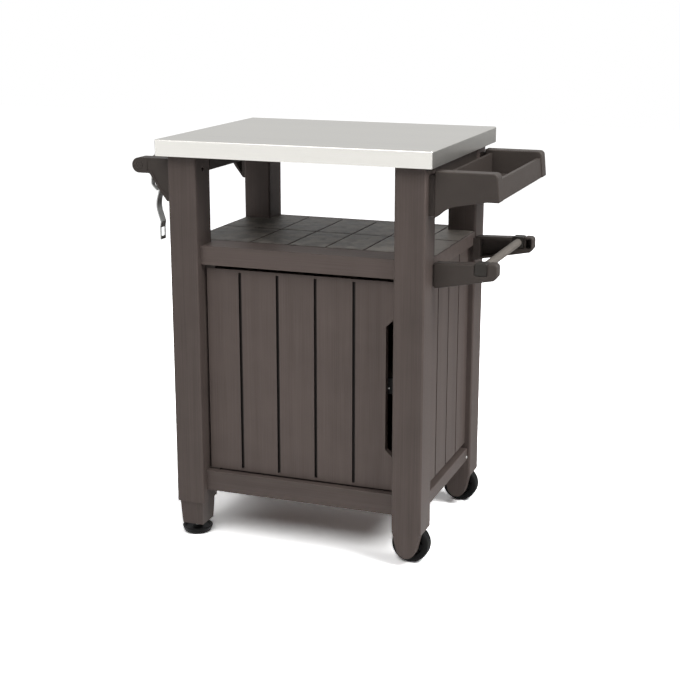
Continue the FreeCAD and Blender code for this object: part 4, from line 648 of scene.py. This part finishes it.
def thread_outlines(length):
    """The stem's outline at each angle: the ridge is |2t - 1|, t = height/pitch - turn."""
    reach = np.linspace(0, length, 260)
    turn = angles(STEM_STEPS) / (2 * math.pi)
    ridge = np.abs(np.mod(reach / THREAD_PITCH - turn, 1.0) * 2 - 1)
    ends = smooth(reach, 0.0, RUN_OUT) * (1 - smooth(reach, length - RUN_OUT, length))
    depth = THREAD_DEPTH * (1 - ends * (1 - ridge))
    thread = np.stack([STEM_RADIUS - depth, np.broadcast_to(reach, ridge.shape)], axis=-1)
    return np.concatenate([thread[:, :1] * (0, 1), thread, thread[:, -1:] * (0, 1)], axis=1)


def nut_outline(base):
    """A nut from its base up, chamfered at both ends."""
    top, narrow = base + NUT_HIGH, NUT_RADIUS - 0.7
    return softened([(0, base), (narrow, base), (NUT_RADIUS, base + CHAMFER),
                     (NUT_RADIUS, top - CHAMFER), (narrow, top), (0, top)], [0] * 6, 4)


print("threads: pitch", THREAD_PITCH, "mm")

# %% Turn the feet
for end in ("front", "rear"):
    centre, half = middle(f"foot_pad_{end}")
    radius, top = half[0] / MM, 2 * half[2] / MM
    pad = turned(pad_outline(radius, top), centre - (0.0, 0.0, half[2]), "z", 120)
    build(f"foot_dish_{end}", [pad], "black", f"pad_{end}", "pad_resin", f"foot_pad_{end}")
    low, high = (np.array(corner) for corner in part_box(f"foot_stem_{end}"))
    foot = np.array([*centre[:2], low[2]])
    length = (high[2] - low[2]) / MM
    thread = turned(thread_outlines(length), foot, "z", STEM_STEPS)
    nut = turned(nut_outline(NUT_UNDERSIDE - low[2] / MM), foot, "z", 6)
    build(f"stem_thread_{end}", [thread, nut], "zinc", f"stem_{end}", "plated_steel",
          f"foot_stem_{end}", sharp=50.0)
print("feet: pads", round(2 * radius), "mm wide, stems", round(length, 1), "mm long")

# %% [markdown]
# ## The towel roller and the small caps
# The roller is a light rod with shallow rings, and its skin is dimpled so that a towel does
# not slide on it. The dimples are a product of two sines that wind round the rod at different
# rates. The caps that close the push handle's bolts are turned discs with a ring pressed into
# them.

# %% Roller
END_LENGTH, SPIGOT, ROLLER_STEPS = 12.0, 5.0, 96
RING_PITCH, RING_DEPTH, DIMPLE_DEPTH = 9.2, 0.55, 0.18
centre, half = middle("towel_roller")
span, radius = half[1] / MM, half[0] / MM
inner = span - END_LENGTH
rod = softened([(0, -span), (SPIGOT, -span), (SPIGOT, -inner), (radius, -inner),
                (radius, inner), (SPIGOT, inner), (SPIGOT, span), (0, span)],
               [0, 0.6, 0.3, 1.0, 1.0, 0.3, 0.6, 0], 520)
along, angle = rod[:, 1], angles(ROLLER_STEPS)
on_rod = smooth(rod[:, 0], SPIGOT + 2.5, radius - 0.5) * (np.abs(along) < inner - 2.0)
rings = np.abs(np.sin(along * (math.pi / RING_PITCH))) ** 6
dimples = np.sin(along * 1.9 + 1.7 * np.sin(3 * angle)) * np.sin(5 * angle + along * 0.7)
rolled = each_angle(rod, ROLLER_STEPS)
rolled[..., 0] -= on_rod * (RING_DEPTH * rings + DIMPLE_DEPTH * (1 + dimples))
build("roller_rod", [turned(rolled, centre, "y", ROLLER_STEPS)], "roller", "roller",
      "roller_resin", "towel_roller")
print("roller:", round(2 * span), "mm long")

# %% Caps on the handle
for end, out in (("front", -1.0), ("rear", 1.0)):
    centre, half = middle(f"rail_cap_{end}")
    deep, radius = half[1] / MM * out, half[0] / MM
    disc = softened([(0, -deep), (radius, -deep), (radius, deep), (radius - 2.2, deep),
                     (radius - 3.0, deep - 0.7 * out), (radius - 4.0, deep - 0.7 * out),
                     (radius - 4.6, deep - 0.1 * out), (0, deep - 0.5 * out)],
                    [0, 0.2, 0.9, 0.4, 0.3, 0.3, 0.5, 0], 80)
    build(f"handle_cap_{end}", [turned(disc, centre, "y", 72)], "moulded", "cart",
          "black_resin", f"rail_cap_{end}")
print("handle caps: radius", round(radius, 1), "mm")

# %% [markdown]
# ## The tiled shelf
# The shelf's top is moulded like rows of slate with narrow seams. Slate cleaves in thin
# leaves, so its skin is a set of low terraces with soft edges, not smooth waves. A sum of long
# waves is cut into steps for the terraces, and a short one roughens it. All tiles read the
# same sum at their own place, and each one is a slab that closes with an underside.

# %% Cleft slate
LEAF, GRIT = 0.16, 0.03


def cleft(x, y):
    """Height in mm: waves f = sum of sin(k.p), then leaves of 0.16 mm with eased steps."""
    bend = 9 * np.sin(y / 31 + 1) + 6 * np.sin(x / 23)
    waves = (1.1 * np.sin((x + bend) / 17 + y / 41) + 0.9 * np.sin(x / 9.7 - (y + bend) / 13)
             + 0.7 * np.sin(y / 7.3 + 1.3 * np.sin(x / 11)) + 0.45 * np.sin(x / 3.9 + y / 4.7))
    whole = np.floor(waves)
    leaves = LEAF * (whole + smooth(waves - whole, 0.35, 0.65))
    return leaves + GRIT * np.sin(x / 1.7) * np.sin(y / 2.1)


print("leaves of", LEAF, "mm")

# %% One slab
SHIFT = middle("worktop_sheet")[0][0] / MM
CELL, RIM, RIM_FALL, SUNK_LEAVES = 2.8, 2.5, 0.7, 2.5


def steps_along(low, high):
    """Even places between two ends, about one cell apart."""
    return np.linspace(low, high, max(3, int((high - low) / CELL)))


def slab(x_span, y_span, top, floor, rounded):
    """A closed tile: cleft top, flat underside, and a rim that falls 0.7 mm over 2.5 mm.

    The rim's height is the square root of the room to the edge, which rounds it over, and
    the relief's middle lies two and a half leaves under the top.
    rounded names the sides whose rim falls: l, r, f, b for left, right, front and back.
    """
    x, y = steps_along(*x_span)[:, None], steps_along(*y_span)[None, :]
    room = {"l": x - x_span[0] + 0 * y, "r": x_span[1] - x + 0 * y,
            "f": y - y_span[0] + 0 * x, "b": y_span[1] - y + 0 * x}
    fall = np.ones((x.size, y.size))
    for side in rounded:
        fall = np.minimum(fall, np.sqrt(np.clip(room[side] / RIM, 0.0, 1.0)))
    height = top + (cleft(x, y) - SUNK_LEAVES * LEAF) - RIM_FALL * (1 - fall)
    upper = np.stack([x + 0 * y, y + 0 * x, height], axis=-1)
    lower = upper.copy()
    lower[..., 2] = floor
    index = numbered(upper)
    rim_line = np.concatenate([index[0, :-1], index[:-1, -1], index[-1, :0:-1], index[:0:-1, 0]])
    ahead = np.roll(rim_line, -1)
    wall = np.stack([rim_line, ahead, ahead + index.size, rim_line + index.size], axis=-1)
    faces = np.concatenate([cells(index), cells(index)[:, ::-1] + index.size, wall])
    points = np.concatenate([upper.reshape(-1, 3), lower.reshape(-1, 3)])
    return (points + (SHIFT, 0.0, 0.0)) * MM, faces


print("slabs are divided every", CELL, "mm")

# %% [markdown]
# ## Laying the slabs
# Two rows of six tiles fill the shelf. Seams between them stand over the grooves of the door.
# The two tiles beside the rear legs are notched, so each is laid as two slabs, a hair apart
# so that each stays closed.

# %% Lay the slabs
SHELF_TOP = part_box("tiled_shelf")[1][2] / MM
COLUMNS = (-286.0, -139.1, -51.4, 36.3, 124.0, 211.7, 286.0)
ROWS = (-142.0, 31.5, 205.0)
LEG_LEFT, LEG_RIGHT, LEG_BACK = -223.0, 222.5, 161.5
SEAM, HAIR, TILE_RISE, TILE_SINK = 1.5, 0.02, 0.9, 0.4
slabs = []
for left, right in zip(COLUMNS[:-1], COLUMNS[1:]):
    for front, back in zip(ROWS[:-1], ROWS[1:]):
        x_span, y_span = (left + SEAM, right - SEAM), (front + SEAM, back - SEAM)
        if back > LEG_BACK and left < LEG_LEFT:
            spans = [((x_span[0], LEG_LEFT), (y_span[0], LEG_BACK), "lf"),
                     ((LEG_LEFT + HAIR, x_span[1]), y_span, "rfb")]
        elif back > LEG_BACK and right > LEG_RIGHT:
            spans = [((x_span[0], LEG_RIGHT - HAIR), y_span, "lfb"),
                     ((LEG_RIGHT, x_span[1]), (y_span[0], LEG_BACK), "rf")]
        else:
            spans = [(x_span, y_span, "lrfb")]
        slabs += [slab(x, y, SHELF_TOP + TILE_RISE, SHELF_TOP - TILE_SINK, sides)
                  for x, y, sides in spans]
tiles = build("shelf_tiles", slabs, "slate", "cart", "tiled_resin", sharp=60.0)
print("slate slabs:", len(slabs), "faces:", len(tiles.data.polygons))

# %% [markdown]
# ## Two small heads that catch the light
# Low on the right-hand rail, close to the rear leg, the photo shows one small plated head, and
# a smaller one shines in the door's finger notch, on the catch. Both are pan heads: a dome over
# a short straight edge, with a cross-shaped driver recess. The dome is turned as on a lathe,
# and the cross is sunk where one of its two arms passes.

# %% Pan heads
HEAD_STEPS, RECESS = 64, 1.1


def pan_head(size):
    """A dome 7.2 mm across times size: it sinks where r |sin a| or r |cos a| is small."""
    dome = softened([(0, -0.3), (3.6, -0.3), (3.6, 0.6), (2.4, 1.9), (0, 2.2)],
                    [0, 0.2, 0.7, 1.2, 0], 40)
    angle = angles(HEAD_STEPS)
    arm = np.minimum(np.abs(np.sin(angle)), np.abs(np.cos(angle))) * dome[:, 0]
    cross = (1 - smooth(arm, 0.25, 0.6)) * (1 - smooth(dome[:, 0], 1.6, 2.2))
    head = each_angle(dome, HEAD_STEPS)
    head[..., 1] -= cross * (dome[:, 1] > 1.0) * RECESS
    return turned(head * size, np.zeros(3), "z", HEAD_STEPS)


RAIL_STUD_Y, RAIL_STUD_Z = 157, 125
CATCH_STUD_IN, CATCH_STUD_DOWN, CATCH_STUD_SIZE = 20, 4.6, 0.55
centre, half = middle("side_rail_right")
rail_place = np.array([centre[0] + half[0], RAIL_STUD_Y * MM, RAIL_STUD_Z * MM])
points, faces = pan_head(1.0)
build("rail_stud", [(points[..., [2, 1, 0]] + rail_place, faces)], "zinc", "cart",
      "plated_steel", sharp=40.0)
centre, half = middle("catch_housing")
catch_place = centre - half * (1, 1, 0) + np.array([CATCH_STUD_IN, 0, -CATCH_STUD_DOWN]) * MM
points, faces = pan_head(CATCH_STUD_SIZE)
build("catch_stud", [(points[..., [0, 2, 1]] * (1, -1, 1) + catch_place, faces)], "zinc", "cart",
      "plated_steel", sharp=40.0)
print("pan heads at", rail_place.round(4), catch_place.round(4))

# %% [markdown]
# ## The studio
# A cut-out photo has no room around it: the ground is white, and only the soft shadow under
# the cart says where the floor is. Under soft lamps a sheet of paper is grey to the lens, so
# the camera alone sees it in a lighter colour, which keeps the shadow's share of light but
# puts the open floor at white. A third of a metre from the middle the sheet starts to glow by
# itself, and beyond two thirds nothing is left of the shadow, as in the photo. In gloss the
# floor is bright in front of the cart and dark behind it.

# %% Floor
SEEN_WHITE, PAPER, REACH = 2.6, 0.80, 9.0
FRONT_SHINE, BACK_SHINE, SHINE_SPAN = 0.95, 0.0, 0.6
SHADE_END = (0.34, 0.66)
paper = Finish("studio_floor")
depth_on_floor = paper.node("SeparateXYZ", {}, {"Vector": paper.place}, out="Y")
shine = paper.node("MapRange", {"interpolation_type": "SMOOTHSTEP"},
                   {"Value": depth_on_floor, "From Min": -SHINE_SPAN, "From Max": SHINE_SPAN,
                    "To Min": FRONT_SHINE, "To Max": BACK_SHINE})
paper.set(base_color=(PAPER,) * 3, roughness=0.9, emission_strength=1.0,
          emission_color=paper.ray("Is Glossy Ray", "Is Transmission Ray") * shine)
seen = paper.node("BsdfDiffuse", {}, {"Color": (SEEN_WHITE,) * 3})
from_middle = paper.node("VectorMath", {"operation": "LENGTH"}, {0: paper.place}, out="Value")
far = paper.node("MapRange", {"interpolation_type": "SMOOTHSTEP"},
                 {"Value": from_middle, "From Min": SHADE_END[0], "From Max": SHADE_END[1]})
glow = paper.node("Emission", {}, {"Color": far, "Strength": 1.0})
open_floor = paper.node("AddShader", {}, {0: seen, 1: glow})
plain = Wire(paper, paper.shader.outputs[0])
both = paper.node("MixShader", {}, {0: paper.ray("Is Camera Ray"), 1: plain, 2: open_floor})
paper.feed(paper.tree.nodes["Material Output"].inputs["Surface"], both)
floor_mesh = bpy.data.meshes.new("studio_floor")
floor_mesh.from_pydata([(-REACH, -REACH, 0.0), (REACH, -REACH, 0.0), (REACH, REACH, 0.0),
                        (-REACH, REACH, 0.0)], [], [(0, 1, 2, 3)])
floor_mesh.materials.append(paper.material)
floor = bpy.data.objects.new("studio_floor", floor_mesh)
bpy.context.scene.collection.objects.link(floor)
print("floor laid,", 2 * REACH, "m across")

# %% [markdown]
# ## The room
# The world is white for the camera, so that the picture has no edge where the floor ends. For
# gloss it falls off towards the back, as a studio does where its wall is further away, and it
# adds next to no light of its own.

# %% World light
AMBIENT, BACK_WALL, WALL_START, WALL_END = 0.02, 0.70, -0.3, 0.8
world = bpy.data.worlds.new("studio")
bpy.context.scene.world = world
world.use_nodes = True
room = Tree(world.node_tree)
aim = room.node("TexCoord", out="Generated")
depth_of_room = room.node("SeparateXYZ", {}, {"Vector": aim}, out="Y")
wall = room.node("MapRange", {"interpolation_type": "SMOOTHSTEP"},
                 {"Value": depth_of_room, "From Min": WALL_START, "From Max": WALL_END,
                  "To Min": 1.0, "To Max": BACK_WALL})
seen_by_eye = room.ray("Is Camera Ray")
seen_in_gloss = room.ray("Is Glossy Ray", "Is Transmission Ray")
level = seen_by_eye + (1 - seen_by_eye) * (seen_in_gloss * wall + (1 - seen_in_gloss) * AMBIENT)
sky = world.node_tree.nodes["Background"]
room.feed(sky.inputs["Strength"], level)
room.feed(sky.inputs["Color"], (1.0, 1.0, 1.0))
print("world lights the scene at", AMBIENT)

# %% [markdown]
# ## Lamps
# Two soft boxes do most of the work: one high in front, and a stronger one high on the right,
# because the right-hand faces in the photo are the brighter ones and the overhanging top
# shades them towards their upper ends. A weak one in front on the left lights up the steel's
# front edge. One more, behind, fills the back for the views from there. Gloss doesn't see that
# one, because its reflection would lie on the tiles like a lamp in a window.

# %% Soft boxes
def soft_box(name, place, aim, size, power, in_gloss=True):
    """An area lamp at a place, turned so that it faces the aim."""
    lamp = bpy.data.lights.new(name, "AREA")
    lamp.shape = "RECTANGLE"
    lamp.size, lamp.size_y = size
    lamp.energy = power
    box = bpy.data.objects.new(name, lamp)
    box.location = place
    box.visible_glossy = in_gloss
    ray = np.array(aim) - np.array(place)
    flat = math.hypot(ray[0], ray[1])
    box.rotation_euler = (math.atan2(flat, -ray[2]), 0.0, math.atan2(-ray[0], ray[1]))
    bpy.context.scene.collection.objects.link(box)
    return power


CART_MIDDLE = (0.0, 0.0, 0.5)
watts = [soft_box("front_high", (-0.2, -2.4, 2.9), CART_MIDDLE, (2.4, 1.8), 45.0),
         soft_box("right_high", (2.3, -0.4, 2.7), (0.0, 0.0, 0.4), (1.8, 2.0), 86.0),
         soft_box("rear_fill", (-1.4, 2.8, 2.2), CART_MIDDLE, (2.0, 2.0), 26.0, False),
         soft_box("left_front", (-2.6, -2.2, 1.5), CART_MIDDLE, (1.8, 1.8), 8.0)]
print("lamps:", len(watts), "with", sum(watts), "W")
